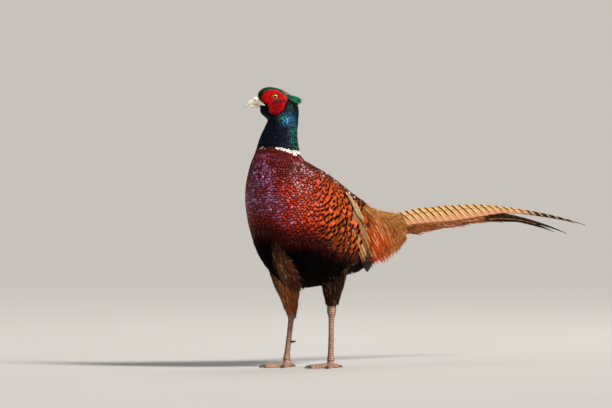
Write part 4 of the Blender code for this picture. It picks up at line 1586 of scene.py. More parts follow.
@dataclass
class BodyCoat:
    """Feathers of the trunk and neck."""

    bird: Bird
    markings: Markings
    surface: Surface
    shoulder: float = 8.2
    rump_reach: float = 35.0
    rump_end: float = 189.0
    rump_edge: Rings = ((0, 46, 58), (4.2, 4.35, 5.1))
    rump_floor: Rings = ((96, 126, 167, 184, 189), (150, 155, 174, 190, 214))

    def roots(self) -> Roots:
        """Roots over the whole trunk, dropped onto the skin."""
        pitch = lambda p, s, a: trunk_pitch(self.bird, p, s, a)
        roots = rows_on(self.bird.trunk, 13.95, 0.25, pitch, 0.78, 11)
        a = from_back(roots.angle)
        fall = 0.38 * ramp(a, 34, 62) * ramp(a, 132, 105) * ramp(roots.place, 10.5, 8.5)
        roots.lie = unit(roots.lie + DOWN * fall[:, None])
        found, point, normal = self.surface.hit(roots.point, roots.normal, 14 * MM)
        x, y, z = self.bird.mm(roots.point).T
        found &= (np.linalg.norm(point - roots.point, axis=-1) < 6 * MM) | (z > 175)
        for side, keys in THIGHS.items():
            low = np.array(keys, float)[::-1]
            cx, cy, across, along = (np.interp(z, low[:, 2], low[:, k]) for k in (0, 1, 3, 4))
            inside = ((x - side * cx) / (across + 1)) ** 2 + ((y - cy) / (along + 1)) ** 2
            found &= ~((inside < 1) & (z < 160))
        roots.land(point, normal)
        return roots.keep(found)

    def build(self) -> list[Piece]:
        """All coat pieces of the trunk."""
        roots = self.roots()
        look = self.markings.body(roots.point, roots.place, roots.angle)
        leg, a = look.pop("leg"), from_back(roots.angle)
        x, y, z = self.bird.mm(roots.point).T
        edge = np.interp(a, *zip(*WING_EDGE))
        tips = np.interp(a, *zip(*WING_TIPS)) + 0.35
        folded = (roots.place < edge + 0.72 * ramp(a, 128, 116)) & (roots.place > tips) & (a > 48) & (a < 132)
        rump = (roots.place < np.minimum(tips + 0.1, np.interp(a, *self.rump_edge))) & ~folded
        neck = z > NECK_BASE
        body = ~neck & ~rump & ~folded
        thigh = body & (leg > np.random.default_rng(12).uniform(0.15, 0.85, len(roots)))
        belly = body & ~thigh & (z < Markings.dark_line(np.abs(x) + y) - 14)
        satin, front = body & ~belly & ~thigh, roots.place >= self.shoulder
        kinds = (
            Kind("coat_neck", neck, GLOSS, Outline.SHORT, 2.4, 0.66, 0.42),
            Kind("coat_breast", satin & front, SATIN, Outline.ROUND, 2.2, 0.66, 0.19),
            Kind("coat_flanks", satin & ~front, SATIN, Outline.ROUND, 2.55, 0.64, 0.2),
            Kind("coat_thigh_front", thigh, SOFT, Outline.HAIR, 4.6, 0.4, 0.8),
            Kind("coat_belly", belly, MATT, Outline.ROUND, 2.3, 0.6, 0.3),
            Kind("coat_rump_left", rump & (x > 0), SOFT, Outline.HAIR, 1.0, 0.34, 0.9),
            Kind("coat_rump_right", rump & (x <= 0), SOFT, Outline.HAIR, 1.0, 0.34, 0.9),
        )
        pieces = []
        for seed, kind in enumerate(kinds, 20):
            chosen = roots.keep(kind.mask)
            length, high, hang, cling = self.shape(kind, chosen, edge[kind.mask], leg[kind.mask])
            colours = {key: value[kind.mask] for key, value in look.items()}
            piece = feather_coat(kind.name, chosen, self.surface, kind.outline, length, chosen.pitch * kind.wide,
                                 high, colours, chosen.unwrap(self.bird.trunk.last), seed, hang=hang, cling=cling)
            pieces.append(kind.finish.dress(piece))
        return pieces

    def shape(self, kind: Kind, roots: Roots, edge: Array,
              leg: Array) -> tuple[Array, Array, Array | float, Array | float]:
        """How the feathers of one piece lie.

        Args:
            kind: The piece.
            roots: Its roots.
            edge: Where the wing begins at their angles.
            leg: How much they belong to the thigh.

        Returns:
            Their lengths, rises, how far they hang and how freely they lie.
        """
        a, z = from_back(roots.angle), self.bird.mm(roots.point)[:, 2]
        length, high, hang, cling = roots.pitch * kind.long, roots.pitch * kind.rise, 0.0, 0.35
        if kind.name == "coat_flanks":
            high = high + ramp(roots.place - edge, 1.5, 0.0) * ramp(a, 36, 48) * ramp(a, 128, 96) * 4.8 * MM
        elif kind.name == "coat_thigh_front":
            low = ramp(z, 148, 124) * ramp(leg, 0.6, 0.95)
            length, hang, cling = length * (1 + 0.9 * low), 4 * MM * low, 0.35 + 0.6 * low
        elif kind.name.startswith("coat_rump"):
            length, hang = self.loose(roots, a)
            high, cling = high + 2.5 * MM * ramp(roots.place, 4.4, 2.5), 0.8
        return length, high, hang, cling

    def loose(self, roots: Roots, a: Array) -> tuple[Array, Array]:
        """Turn the rump's feathers down and cut them to the outline of the rump.

        Args:
            roots: Their roots.
            a: Degrees from the back.

        Returns:
            Their lengths and how far they hang.
        """
        x, y, _ = self.bird.mm(roots.point).T
        sides = ramp(a, 12, 62)
        roots.lie = unit(roots.lie + DOWN * (0.55 * sides)[:, None])
        length = self.rump_reach * MM * (1 - 0.82 * ramp(a, 104, 136))
        length = length * (1 - 0.42 * sides * ramp(roots.place, 3.2, 1.8))
        length = np.minimum(length, np.maximum(self.rump_end - np.abs(x) - y, 8) * MM)
        length = length * np.random.default_rng(9).uniform(0.55, 1.3, len(roots))
        hang = (3 + 9 * sides * ramp(roots.place, 4.2, 1.5)) * MM * ramp(a, 140, 104)
        for _ in range(8):
            tip = self.bird.mm(roots.point + roots.lie * length[:, None])
            low = np.interp(np.abs(tip[:, 0]) + tip[:, 1], *self.rump_floor)
            short = np.where((tip[:, 2] - hang / MM < low) & (a < 112), 0.86, 1.0)
            length, hang = length * short, hang * short
        return length, hang


class Face:
    """The head's outer surface in its own frame, for what lies on the face."""

    def __init__(self) -> None:
        """Build the search tree of the head's form."""
        head = Loft(HEAD)
        shell = closed_tube("face_form", head.at(np.linspace(0, head.last, 120)[:, None], circle(96)[None]))
        self.tree = Surface(shell).tree
        bpy.data.objects.remove(shell)

    def widths(self, y: Array, z: Array) -> Array:
        """Half widths of the face in millimetres at places along it and heights."""
        hits = (self.tree.ray_cast(Vector((0.05, b * MM, c * MM)), Vector((-1, 0, 0)))[0] for b, c in zip(y, z))
        return np.array([hit.x / MM if hit else 0.0 for hit in hits])


@dataclass
class Wattle:
    """Red bare skin of one side of the face, folded and finely beaded."""

    bird: Bird
    side: int
    inner: float = 4.5
    columns: int = 150
    rings: int = 34
    bead_height: float = 0.42
    lobe: tuple[float, float] = (218, 306)
    # How far the skin reaches from the eye, by degrees.
    edge: Rings = (
        (0, 20.5), (20, 18), (45, 14.5), (68, 11.4), (90, 10.4), (130, 9.8), (160, 11.5), (188, 18.5),
        (212, 17.2), (243, 22.0), (268, 25.4), (288, 24.2), (303, 17.8), (318, 14.4), (340, 20),
    )
    # How high it stands, by share of the way out, beside the eye and in the lobe.
    folds: Rings = (
        (0.0, 1.3, 1.3), (0.12, 2.0, 2.1), (0.3, 1.3, 1.4), (0.55, 2.0, 1.9), (0.8, 2.0, 3.1),
        (0.94, 1.7, 2.4), (1.0, 0.2, 0.2),
    )
    surface: Surface | None = field(init=False, default=None)

    def reach(self, degrees: Array) -> Array:
        """How far the wattle reaches from the eye, in millimetres, at angles in degrees.

        Args:
            degrees: Angles round the eye.

        Returns:
            One distance an angle.
        """
        marks, reach = np.array(self.edge, dtype=float).T
        marks, reach = np.concatenate([marks - 360, marks, marks + 360]), np.tile(reach, 3)
        i = np.clip(np.searchsorted(marks, degrees, side="right") - 1, 0, len(marks) - 2)
        return reach[i] + (reach[i + 1] - reach[i]) * ramp((degrees - marks[i]) / (marks[i + 1] - marks[i]), 0, 1)

    def build(self) -> Piece:
        """The wattle as a closed piece."""
        face = Face()
        degrees = np.linspace(0, 360, self.columns, endpoint=False)
        reach, (start, end) = self.reach(degrees), self.lobe
        marks, beside, below = zip(*self.folds)
        lobe = np.sin(math.pi * np.clip((degrees - start) / (end - start), 0, 1)) ** 0.5
        lobe = np.where((degrees > start) & (degrees < end), lobe, 0)
        over, under, beads, shades = [], [], [], []
        for share in np.linspace(0, 1, self.rings):
            lift = np.interp(share, marks, beside) * (1 - lobe) + np.interp(share, marks, below) * lobe
            radius = self.inner + (reach - self.inner) * share
            y = EYE[1] - radius * np.cos(np.radians(degrees))
            z = EYE[2] + radius * np.sin(np.radians(degrees))
            depth = face.widths(y, z)
            cell = np.array([noise.voronoi(Vector((b * 0.95, c * 0.95, 3.0)))[0][0] for b, c in zip(y, z)])
            bead = 1 - np.minimum(1, cell / 0.62) ** 2
            fade = min(1.0, share * 9, (1 - share) * 7)
            over.append(np.stack([depth + lift + (self.bead_height * bead - 0.1) * fade, y, z], 1))
            under.append(np.stack([depth - 1.2, y, z], 1))
            beads.append(bead * fade + (1 - fade) * 0.4)
            shades.append(lobe * math.sin(math.pi * min(1.0, share * 1.02)) ** 1.2)
        name = f"wattle_{which(self.side)}"
        rows = self.bird.from_head(np.array(over + under[::-1]) * (self.side, 1, 1))
        piece = closed_loop(name + "_beaded", rows)
        hidden = np.zeros(self.rings * self.columns)
        set_attribute(piece, "bead", np.concatenate([np.array(beads).ravel(), hidden]))
        set_attribute(piece, "shade", np.concatenate([np.array(shades).ravel(), hidden]))
        Scarlet().dress(piece)
        self.surface = Surface(piece)
        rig.replaces(piece, name)
        return piece


@dataclass
class HeadCoat:
    """The head's short feathers, its ear tufts and the dark line across each wattle."""

    bird: Bird
    markings: Markings
    surface: Surface
    wattles: list[Wattle]
    bare: Surface
    tuft_feathers: int = 84
    tuft_rows: int = 8
    tuft_drop: float = 3.0
    lore_feathers: int = 150

    def build(self) -> list[Piece]:
        """The head's coat and its tufts."""
        pitch = lambda p, s, a: np.full(p.shape[:-1], 2.1 * MM) - 0.5 * MM * ramp(s, 5, 9)
        roots = rows_on(self.bird.head, 8.85, 0.0, pitch, 0.8, 31)
        found, point, normal = self.surface.hit(roots.point, roots.normal, 6 * MM)
        x, y, z = self.bird.in_head(point).T
        y, z = y - EYE[1], z - EYE[2]
        degrees = np.degrees(np.arctan2(z, -y)) % 360
        found &= ~((np.hypot(y, z) < self.wattles[0].reach(degrees) - 1.2) & (np.abs(x) > 3))
        roots.land(point, normal)
        roots = roots.keep(found)
        coat = feather_coat("coat_head", roots, self.surface, Outline.SHORT, roots.pitch * 2.6,
                            roots.pitch * 0.62, roots.pitch * 0.4, self.markings.head(roots.point),
                            roots.unwrap(9), 32, sink=0.3 * MM)
        return [GLOSS.dress(coat), self.tufts(), self.lores()]

    def tufts(self) -> Piece:
        """The ear tufts, narrow vanes that stand off behind the crown."""
        rng = np.random.default_rng(33)
        roots, heads, reach = [], [], []
        for side in (1, -1):
            for _ in range(self.tuft_feathers):
                spread, deep = rng.uniform(-1, 1), rng.uniform(0, 1)
                across, high = 9.3 + 1.6 * deep - 1.4 * spread, 34.6 - 3 * deep + 2.2 * spread
                roots.append((side * across, 3.0 + 8 * deep, high))
                rise = -0.27 + 0.1 * spread + rng.normal(0, 0.11)
                heads.append((side * (0.22 + 0.08 * deep - 0.06 * spread), 1, rise))
                reach.append((22 - 5 * deep - 3 * abs(spread)) * rng.uniform(0.5, 1.12) * MM)
        turn = np.array(self.bird.head_frame.to_3x3())
        t, count = np.linspace(0, 1, self.tuft_rows), len(roots)
        point, lie = self.bird.from_head(np.array(roots)), unit(np.array(heads) @ turn.T)
        path = point[:, None] + lie[:, None] * np.outer(reach, t)[..., None]
        path = path + DOWN * (self.tuft_drop * MM * t**2)[None, :, None]
        out = unit(turn @ (1, 0, 0.35)) * np.repeat((1, -1), self.tuft_feathers)[:, None]
        wide = np.tile(0.8 * MM * np.sin(math.pi * (0.12 + 0.86 * t)) ** 0.7, (count, 1))
        tint = TUFT * rng.uniform(0.15, 1.6, (count, 1))
        gloss = np.hstack([np.tile(TUFT_SHINE, (count, 1)), rng.uniform(0.05, 0.95, (count, 1))])
        unwrap = np.stack([rng.uniform(0.1, 0.9, count), rng.uniform(0.1, 0.9, count)], 1)
        piece = blade_feathers("ear_tufts", path, np.repeat(out[:, None], self.tuft_rows, 1), wide, wide,
                               0.3 * MM, 0.1, plain_look(tint, gloss, tint * 0.4, 0.4), unwrap, 3)
        return GLOSS.dress(piece)

    def lores(self) -> Piece:
        """The speckled line of tiny dark feathers on each wattle, below the eye."""
        rng, frame = np.random.default_rng(35), self.bird.head_frame
        point, normal = [], []
        for wattle in self.wattles:
            inward = frame.to_3x3() @ Vector((-wattle.side, 0, 0))
            for _ in range(self.lore_feathers):
                y = rng.uniform(-17, 2)
                z = 26.8 + 0.05 * (y + 8) + rng.normal(0, 0.6)
                start = frame @ Vector((wattle.side * 40 * MM, y * MM, z * MM))
                place, facing, _, _ = wattle.surface.tree.ray_cast(start, inward)
                if place is not None:
                    point.append(place)
                    normal.append(facing)
        count = len(point)
        lie = np.tile(unit(np.array(frame.to_3x3() @ Vector((0, 1, -0.15)))), (count, 1))
        size = np.full(count, 1.0 * MM)
        roots = Roots(np.array(point), lie, np.array(normal), 0 * size, 0 * size, size)
        tint = np.where(rng.uniform(0, 1, (count, 1)) < 0.25, LORE_TEAL, LORE_BLACK)
        piece = feather_coat("lore_feathers", roots, self.bare, Outline.SHORT, 1.9 * size, 0.38 * size, 0.3 * size,
                             plain_look(tint, np.append(LORE_SHINE, 0.15)), rng.uniform(0.1, 0.9, (count, 2)), 36,
                             sink=0.2 * MM)
        return GLOSS.dress(piece)


@dataclass
class Eye:
    """Eyeball with an amber iris, and the lids that frame it."""

    bird: Bird
    side: int
    radius: float = 5.6
    lid_radius: float = 4.75
    lid_thick: float = 0.62
    lid_out: float = 3.15
    squint: float = 0.07

    def build(self) -> list[Piece]:
        """The eyeball and its lids."""
        word, around = which(self.side), circle(48)
        angle = np.linspace(0.02, math.pi - 0.02, 46)[:, None]
        ball = closed_tube(f"eyeball_{word}", self.place(
            self.radius * np.cos(angle), self.radius * np.sin(angle) * np.cos(around),
            self.radius * np.sin(angle) * np.sin(around)))
        x, y, z = (self.bird.in_head(points_of(ball)) - np.array(EYE) * (self.side, 1, 1)).T
        set_attribute(ball, "iris", np.where(x * self.side > 0, np.hypot(y, z), 9.0))
        set_attribute(ball, "turn", np.arctan2(z, y))
        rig.replaces(WetEye().dress(ball), f"eye_{word}")
        tube, around = circle(12), around[:, None]
        wide = self.lid_radius + self.lid_thick * np.sin(tube)
        lids = closed_loop(f"lids_{word}", self.place(
            self.lid_out + self.lid_thick * np.cos(tube), wide * np.cos(around),
            wide * np.sin(around) * (1 - self.squint * np.abs(np.sin(around)))))
        return [ball, LID_SKIN.dress(lids)]

    def place(self, x: Array, y: Array, z: Array) -> Array:
        """Points about the eye's centre, in millimetres, in the world."""
        points = np.stack(np.broadcast_arrays(x, y, z), -1) + EYE
        return self.bird.from_head(points * (self.side, 1, 1))


@dataclass
class Bill:
    """Upper and lower bill with nostrils under their flaps."""

    bird: Bird
    upper: Rings = (
        (-37.0, 35.2, -33.6, 22.4, 8.0), (-44, 31.5, -41.5, 21.4, 6.4), (-50, 27.3, -48, 20.4, 4.8),
        (-55, 21.3, -53.2, 18.2, 3.0), (-58.3, 15.2, -57.3, 14.4, 0.9),
    )
    lower: Rings = (
        (-34.0, 21.9, -33.4, 16.5, 7.0), (-41.5, 20.9, -41, 16.0, 5.6), (-47.5, 19.9, -47.5, 16.2, 4.0),
        (-52, 17.8, -51.8, 15.9, 1.8),
    )
    nostril: tuple[float, float] = (-41.2, 27.0)
    flap: tuple[float, float] = (-40.5, 29.6)
    gape_ends: tuple[float, float] = (-37.5, -26.2)

    def build(self) -> list[Piece]:
        """Both halves of the bill and the gapes beside them."""
        pieces = [self.half("bill_upper", self.upper), self.half("bill_lower", self.lower)]
        return pieces + [self.gape(side) for side in (1, -1)]

    def half(self, name: str, keys: Rings) -> Piece:
        """One half of the bill.

        Args:
            name: The node it replaces.
            keys: Its rings.

        Returns:
            The dressed piece.
        """
        form, top = Loft(keys), keys is self.upper
        where = np.linspace(0, form.last, 64)[:, None], circle(60)[None]
        grid = form.at(*where) / MM
        x, y, z = np.moveaxis(grid, -1, 0)
        if top:
            swell = 0.7 * bell((y, self.flap[0], 3.0), (z, self.flap[1], 1.6))
            swell = swell - 1.5 * bell((y, self.nostril[0], 1.9), (z, self.nostril[1], 0.75))
            grid = grid + form.normal(*where) * (swell * (np.abs(x) > 2))[..., None]
        else:
            grid[..., 2] += 0.7 + 0.7 * ramp(-y, 36, 50)
        grid[..., 1] += 3.2 * ramp(-grid[..., 1], 39.5, 35.5)
        piece = closed_tube(name + "_horn", self.bird.from_head(grid))
        _, y, z = self.bird.in_head(points_of(piece)).T
        set_attribute(piece, "nostril", top * bell((y, self.nostril[0], 1.6), (z, self.nostril[1], 0.7)))
        set_attribute(piece, "reach", ramp(-y, 36, 58))
        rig.replaces(CreamHorn().dress(piece), name)
        return piece

    def gape(self, side: int) -> Piece:
        """The horn that runs back from the bill's base to the corner of the mouth.

        Args:
            side: 1 for the bird's left, -1 for its right.

        Returns:
            A closed wedge that lies on the face.
        """
        face, rings, share = Face(), [], np.linspace(0, 1, 13)
        for place in np.linspace(*self.gape_ends, 18):
            low = np.interp(place, (-37.5, -33, -26.2), (21.6, 21.2, 20.2))
            high = np.interp(place, (-37.5, -33, -26.2), (31.5, 27.5, 21.6))
            y, z = np.full(13, place), low + (high - low) * share
            depth = face.widths(y, z)
            crown = np.sin(math.pi * share) ** 0.8 * np.interp(place, (-37.5, -34, -28, -26.2), (-0.6, 1.4, 1.5, 0.7))
            outer = depth + np.interp(place, (-37.5, -34), (-1.2, 0.2)) + crown
            rings.append(np.concatenate([np.stack([outer, y, z], 1), np.stack([depth - 2.5, y, z], 1)[::-1]]))
        piece = closed_tube(f"gape_{which(side)}", self.bird.from_head(np.array(rings) * (side, 1, 1)))
        count = len(piece.data.vertices)
        set_attribute(piece, "nostril", np.zeros(count))
        set_attribute(piece, "reach", np.full(count, 0.4))
        return CreamHorn().dress(piece)


def ring_about(centre: Array, heading: Array, across: float, along: float, around: Array,
               ahead: Array) -> tuple[Array, Array]:
    """A ring square to a heading.

    Args:
        centre: Its middle.
        heading: The direction it faces.
        across: Its half width sideways.
        along: Its half width toward ahead.
        around: Angles of its points, 0 toward ahead.
        ahead: The direction of angle 0, before it is squared up.

    Returns:
        The points and their outward directions.
    """
    front = unit(ahead - heading * np.dot(ahead, heading))
    side = np.cross(heading, front)
    out = front * np.cos(around)[:, None] * along + side * np.sin(around)[:, None] * across
    return centre + out, unit(out)


@dataclass
class Leg:
    """Bare shank, foot, claws and spur of one leg."""

    bird: Bird
    side: int
    hock: Array = field(init=False)
    foot: Array = field(init=False)
    # Hock and foot by side: distance from the middle, place along the bird and height.
    ends: tuple[Rings, Rings] = (((33, 10, 83.6), (33, 8, 11.8)), ((33, -5, 79.1), (33, -16, 11.8)))
    # Toes: degrees from straight ahead, length and length of the claw.
    toes: dict[str, tuple[float, float, float]] = field(default_factory=lambda: {
        "inner": (-36, 30, 8.5), "middle": (2, 43, 10), "outer": (38, 32, 8), "hind": (172, 15, 7)})
    # The ball of the foot: height, half width across and along.
    hub: Rings = ((0.0, 3.8, 4.6), (1.0, 5.0, 6.0), (3.5, 5.4, 6.4), (6, 5.4, 6.3), (9, 4.7, 5.3), (12, 4.1, 4.6))
    shank_radius: float = 3.7
    scute: float = 3.3
    toe_scute: float = 2.5
    voxel: float = 0.5
    spur_place: float = 0.62
    spur_length: float = 9.9

    def __post_init__(self) -> None:
        """Choose the bird's left, 1, or right, -1."""
        ends = self.ends[0 if self.side > 0 else 1]
        self.hock, self.foot = (np.array((self.side * x, y, z), float) for x, y, z in ends)

    def build(self) -> list[Piece]:
        """All pieces of the leg."""
        return [self.shank(), self.sole(), *self.claws(), self.spur()]

    def shank(self) -> Piece:
        """The shank with two rows of scutes in front and small scales behind."""
        length, heading = np.linalg.norm(self.foot - self.hock), unit(self.foot - self.hock)
        around, rows, height = circle(40), [], []
        front, left = ramp(np.cos(around), -0.35, 0.1), np.where(np.sin(around) > 0, 0.5, 0.0)
        seam = -0.35 * np.exp(-(np.sin(around) / 0.16) ** 2) * (np.cos(around) > 0)
        for t in np.linspace(-0.15 if self.side > 0 else -0.06, 1.02, 190):
            base = self.shank_radius * (1.0 + 0.06 * math.cos(2 * math.pi * t))
            base += 2.3 * math.exp(-(max(t - 0.03, 0) / 0.085) ** 2) + 1.1 * math.exp(-((t - 1.02) / 0.09) ** 2)
            phase = (t * length / self.scute + left) % 1.0
            centre = self.hock + heading * t * length
            ring, out = ring_about(centre, heading, base, base * 1.1, around, AHEAD)
            cell = np.array([noise.voronoi(Vector(p) * 0.9)[0][0] for p in ring])
            small = (0.5 - np.minimum(0.5, cell)) * 0.7
            lift = (phase**0.6 * 0.42 - 0.15 + seam) * front + small * (1 - front)
            joint = np.exp(-(np.minimum(phase, 1 - phase) / 0.13) ** 2)
            rows.append(ring + out * lift[:, None])
            height.append(np.maximum(joint, -seam * 2.4) * front + ramp(small, 0.12, 0.0) * (1 - front))
        rings = self.bird.world(np.array(rows))
        piece = closed_tube(f"scaled_shank_{which(self.side)}", rings)
        return self.scaled(piece, "shank", rings.reshape(-1, 3), np.array(height).ravel())

    def scaled(self, piece: Piece, node: str, points: Array, depth: Array) -> Piece:
        """Dress a piece in scutes, whose grooves follow those known at given points.

        Args:
            piece: The piece.
            node: The node it replaces, without its side.
            points: Points whose depth in a groove is known.
            depth: Their depths, from 0 to 1.

        Returns:
            The piece.
        """
        set_attribute(piece, "groove", depth[nearest(points, points_of(piece))])
        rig.replaces(Scutes().dress(piece), f"{node}_{which(self.side)}")
        return piece

    def ahead(self, degrees: float) -> Array:
        """The direction of a toe at degrees from straight ahead."""
        angle = math.radians(degrees)
        return np.array((self.side * math.sin(angle), -math.cos(angle), 0))

    def toe(self, degrees: float, length: float) -> Array:
        """Rings of one toe with its scutes above and pads below.

        Args:
            degrees: Its direction, from straight ahead.
            length: Its length.

        Returns:
            Rings in millimetres.
        """
        ahead, around, rings = self.ahead(degrees), circle(28), []
        for share in np.linspace(0, 1, max(24, int(length * 1.6))):
            centre = self.foot * (1, 1, 0) + ahead * share * length
            centre[2] = 3.1 + 2.5 * max(0.0, 1 - share * length / 13) ** 2 - 0.9 * share
            radius = (4.1 - 1.6 * share) * (1 + 0.07 * math.sin(share * length / 9 * 2 * math.pi))
            ring, out = ring_about(centre, ahead, radius, radius * 1.02, around, -DOWN)
            plate = ((share * length / self.toe_scute) % 1.0) ** 0.6 * 0.4 - 0.15
            lift = plate * ramp(np.cos(around), 0.0, 0.35) + 0.12 * np.cos(9 * around) * (np.cos(around) < -0.2)
            rings.append(np.maximum(ring + out * lift[:, None], FLOOR))
        return np.array(rings)

    def sole(self) -> Piece:
        """The foot: four toes and the ball they spring from."""
        rings, grooves = [], []
        for degrees, length, _ in self.toes.values():
            rings.append(self.toe(degrees, length))
            phase = np.linspace(0, length / self.toe_scute, len(rings[-1])) % 1.0
            joint = np.exp(-(np.minimum(phase, 1 - phase) / 0.2) ** 2)
            grooves.append(np.outer(joint, ramp(np.cos(circle(28)), 0.0, 0.35)).ravel())
        forms = [closed_tube("toe", self.bird.world(toe)) for toe in rings]
        x, y, _ = self.foot
        hub = [[(x + across * math.sin(b), y - (z < 3) - along * math.cos(b), z) for b in circle(32)]
               for z, across, along in self.hub]
        forms.append(closed_tube("ball_of_foot", self.bird.world(np.array(hub))))
        foot = as_one(forms, f"scaled_foot_{which(self.side)}", self.voxel)
        known = self.bird.world(np.concatenate([toe.reshape(-1, 3) for toe in rings]))
        return self.scaled(foot, "foot", known, np.concatenate(grooves))

    def claws(self) -> list[Piece]:
        """The four claws."""
        made = []
        for toe, (degrees, length, claw) in self.toes.items():
            ahead, rings = self.ahead(degrees), []
            for t in np.linspace(-0.12, 1, 22):
                radius = float(np.interp(t, (0, 0.3, 0.6, 0.85, 1), (2.0, 1.75, 1.25, 0.7, 0.2)))
                centre = self.foot * (1, 1, 0) + ahead * (length + 0.3 + claw * t)
                centre[2] = 2.25 + 0.5 * math.sin(math.pi * max(t, 0)) - 1.9 * max(t, 0) ** 2
                ring, _ = ring_about(centre, ahead, radius * 0.85, radius, circle(20), -DOWN)
                rings.append(np.maximum(ring, FLOOR + (0, 0, 0.1)))
            made.append(self.horn(f"claw_{toe}", rings))
        return made

    def spur(self) -> Piece:
        """The pointed spur behind the shank."""
        heading = unit(self.foot - self.hock)
        centre = self.hock + heading * self.spur_place * np.linalg.norm(self.foot - self.hock)
        out = unit(np.array((-self.side * 0.45, 1, 0.0)))
        out = unit(out - heading * np.dot(out, heading))
        rings = []
        for t in np.linspace(0, 1, 18):
            radius = float(np.interp(t, (0, 0.3, 0.65, 1), (2.9, 2.1, 1.3, 0.25)))
            place = centre + out * (2.6 + self.spur_length * t) - DOWN * 2.4 * t * t
            rings.append(ring_about(place, out, radius, radius, circle(20), -DOWN)[0])
        return self.horn("spur", rings)

    def horn(self, node: str, rings: list[Array]) -> Piece:
        """A piece of dark horn through rings, which replaces a node named without its side.

        Args:
            node: The node.
            rings: The rings in millimetres.

        Returns:
            The dressed piece.
        """
        piece = closed_tube(f"horn_{node}_{which(self.side)}", self.bird.world(np.array(rings)))
        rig.replaces(DARK_HORN.dress(piece), f"{node}_{which(self.side)}")
        return piece


@dataclass
class LegCoat:
    """Feathers of one thigh, from the flank to the hock, of the bird's left, 1, or right, -1."""

    bird: Bird
    side: int
    surface: Surface
    least: float = 2.5
    half: float = 1.4
    rise: float = 1.9

    def roots(self, rng: np.random.Generator) -> Roots:
        """Staggered rows of roots down the thigh, dropped onto the skin.

        Args:
            rng: The source of the small shifts.

        Returns:
            The roots.
        """
        point, lie, normal, height, turn = [], [], [], [], []
        keys = np.array(THIGHS[self.side], dtype=float).T
        row, t = 0, 0.0
        while t < 5.0:
            x, y, z, across, along = (np.interp(t, range(6), column) for column in keys)
            ahead = np.array([np.interp(t + 0.2, range(6), column) for column in keys[:3]]) - (x, y, z)
            speed, spacing = np.linalg.norm(ahead), 3.4 - 0.16 * t
            count = int(2 * math.pi * math.sqrt((across**2 + along**2) / 2) / spacing)
            for i in range(count):
                b = 2 * math.pi * (i + (row % 2) * 0.5 + rng.uniform(-0.15, 0.15)) / count
                east, north = math.sin(b), math.cos(b)
                point.append((self.side * x + across * east, y + along * north, z + rng.uniform(-0.6, 0.6)))
                normal.append((east * along, north * across, 0))
                lie.append(ahead * (self.side, 1, 1) / speed - np.array((east, north, 0)) * 0.25)
                height.append(t)
                turn.append(b)
            t += spacing * 0.95 / speed * 0.2
            row += 1
        point, normal = self.bird.world(np.array(point)), unit(np.array(normal))
        found, place, facing = self.surface.hit(point, normal, 5 * MM)
        pitch = np.full(len(point), 3.2 * MM)
        roots = Roots(point, unit(np.array(lie)), normal, np.array(height), np.array(turn), pitch)
        roots.land(place, facing)
        return roots.keep(found)

    def build(self) -> Piece:
        """The thigh's coat."""
        rng = np.random.default_rng(50 + self.side)
        roots = self.roots(rng)
        count, z = len(roots), self.bird.mm(roots.point)[:, 2]
        # Painted shade: the left thigh takes much darker browns than the right; both darken toward the body above, and
        # the right also on its outer side.
        if self.side > 0:
            brown, buff, hock = srgb(48, 23, 11), srgb(140, 94, 58), 92
            dark, share = srgb(30, 13, 9), ramp(z, 118, 150)
        else:
            brown, buff, hock = srgb(168, 94, 54), srgb(204, 148, 98), 71
            dark, share = srgb(30, 14, 9), ramp(z, 106, 138) * ramp(np.sin(roots.angle), 0.25, -0.45)
        tint = toward(np.ones((count, 1)) * brown, dark, share) * rng.uniform(0.5, 1.3, (count, 1))
        pale = rng.uniform(0, 1, count) < 0.14
        tint[pale] = tint[pale] * 0.5 + 0.5 * buff
        length = np.interp(roots.place, (0, 5), (15, 13.0)) * MM
        length = np.minimum(length, np.maximum((z - hock - rng.uniform(-3, 3, count)) * MM, 0.0))
        mask = length > self.least * MM
        roots, tint, length, size = roots.keep(mask), tint[mask], length[mask], np.full(mask.sum(), MM)
        piece = feather_coat(f"coat_thigh_{which(self.side)}", roots, self.surface, Outline.HAIR, length,
                             self.half * size, self.rise * size,
                             plain_look(tint, np.append(srgb(150, 90, 60), 0.15), tint * 0.5, 0.5),
                             roots.unwrap(5.6, 0.05), 52 + self.side, cling=0.35 + 0.6 * ramp(z[mask], 112, 95))
        return SOFT.dress(piece)


def barred_group() -> bpy.types.NodeTree:
    """Bars across a long feather, on its distance from the root in millimetres."""
    found = bpy.data.node_groups.get("slanting_bars")
    if found:
        return found
    inputs = dict.fromkeys(("Dist", "Across", "Down", "Pitch", "Width", "Slant", "Seed"), "Float")
    tree, n = group("slanting_bars", inputs, {"Bar": "Float", "Pale": "Float", "Height": "Float"})
    given = n.add("NodeGroupInput").outputs
    dist, across, seed, pitch = (given[key] for key in ("Dist", "Across", "Seed", "Pitch"))

    def wander(length: float, wide: float, chance: float) -> Socket:
        """Noise drawn out along the barbs."""
        slope = n.plus(dist, n.times(n.size(across), -10.0))
        return n.grain((n.times(slope, length), n.times(across, wide), n.times(seed, chance)))

    stretch = n.times(dist, n.line(dist, -0.0004, 1.0))
    run = n.minus(stretch, n.times(given["Down"], given["Slant"]))
    run = n.plus(run, n.times(wander(0.22, 2.2, 60.0), 3.4))
    run = n.plus(run, n.times(seed, pitch))
    phase = n.math("FRACT", n.math("DIVIDE", run, pitch))
    done = n.add("NodeGroupOutput").inputs
    n.feed(done["Bar"], n.step(n.size(n.minus(phase, 0.5)), given["Width"], n.times(given["Width"], 0.6)))
    n.feed(done["Pale"], n.step(n.size(n.minus(phase, 0.74)), 0.2, 0.05))
    n.feed(done["Height"], wander(1.6, 1.5, 40.0))
    return tree


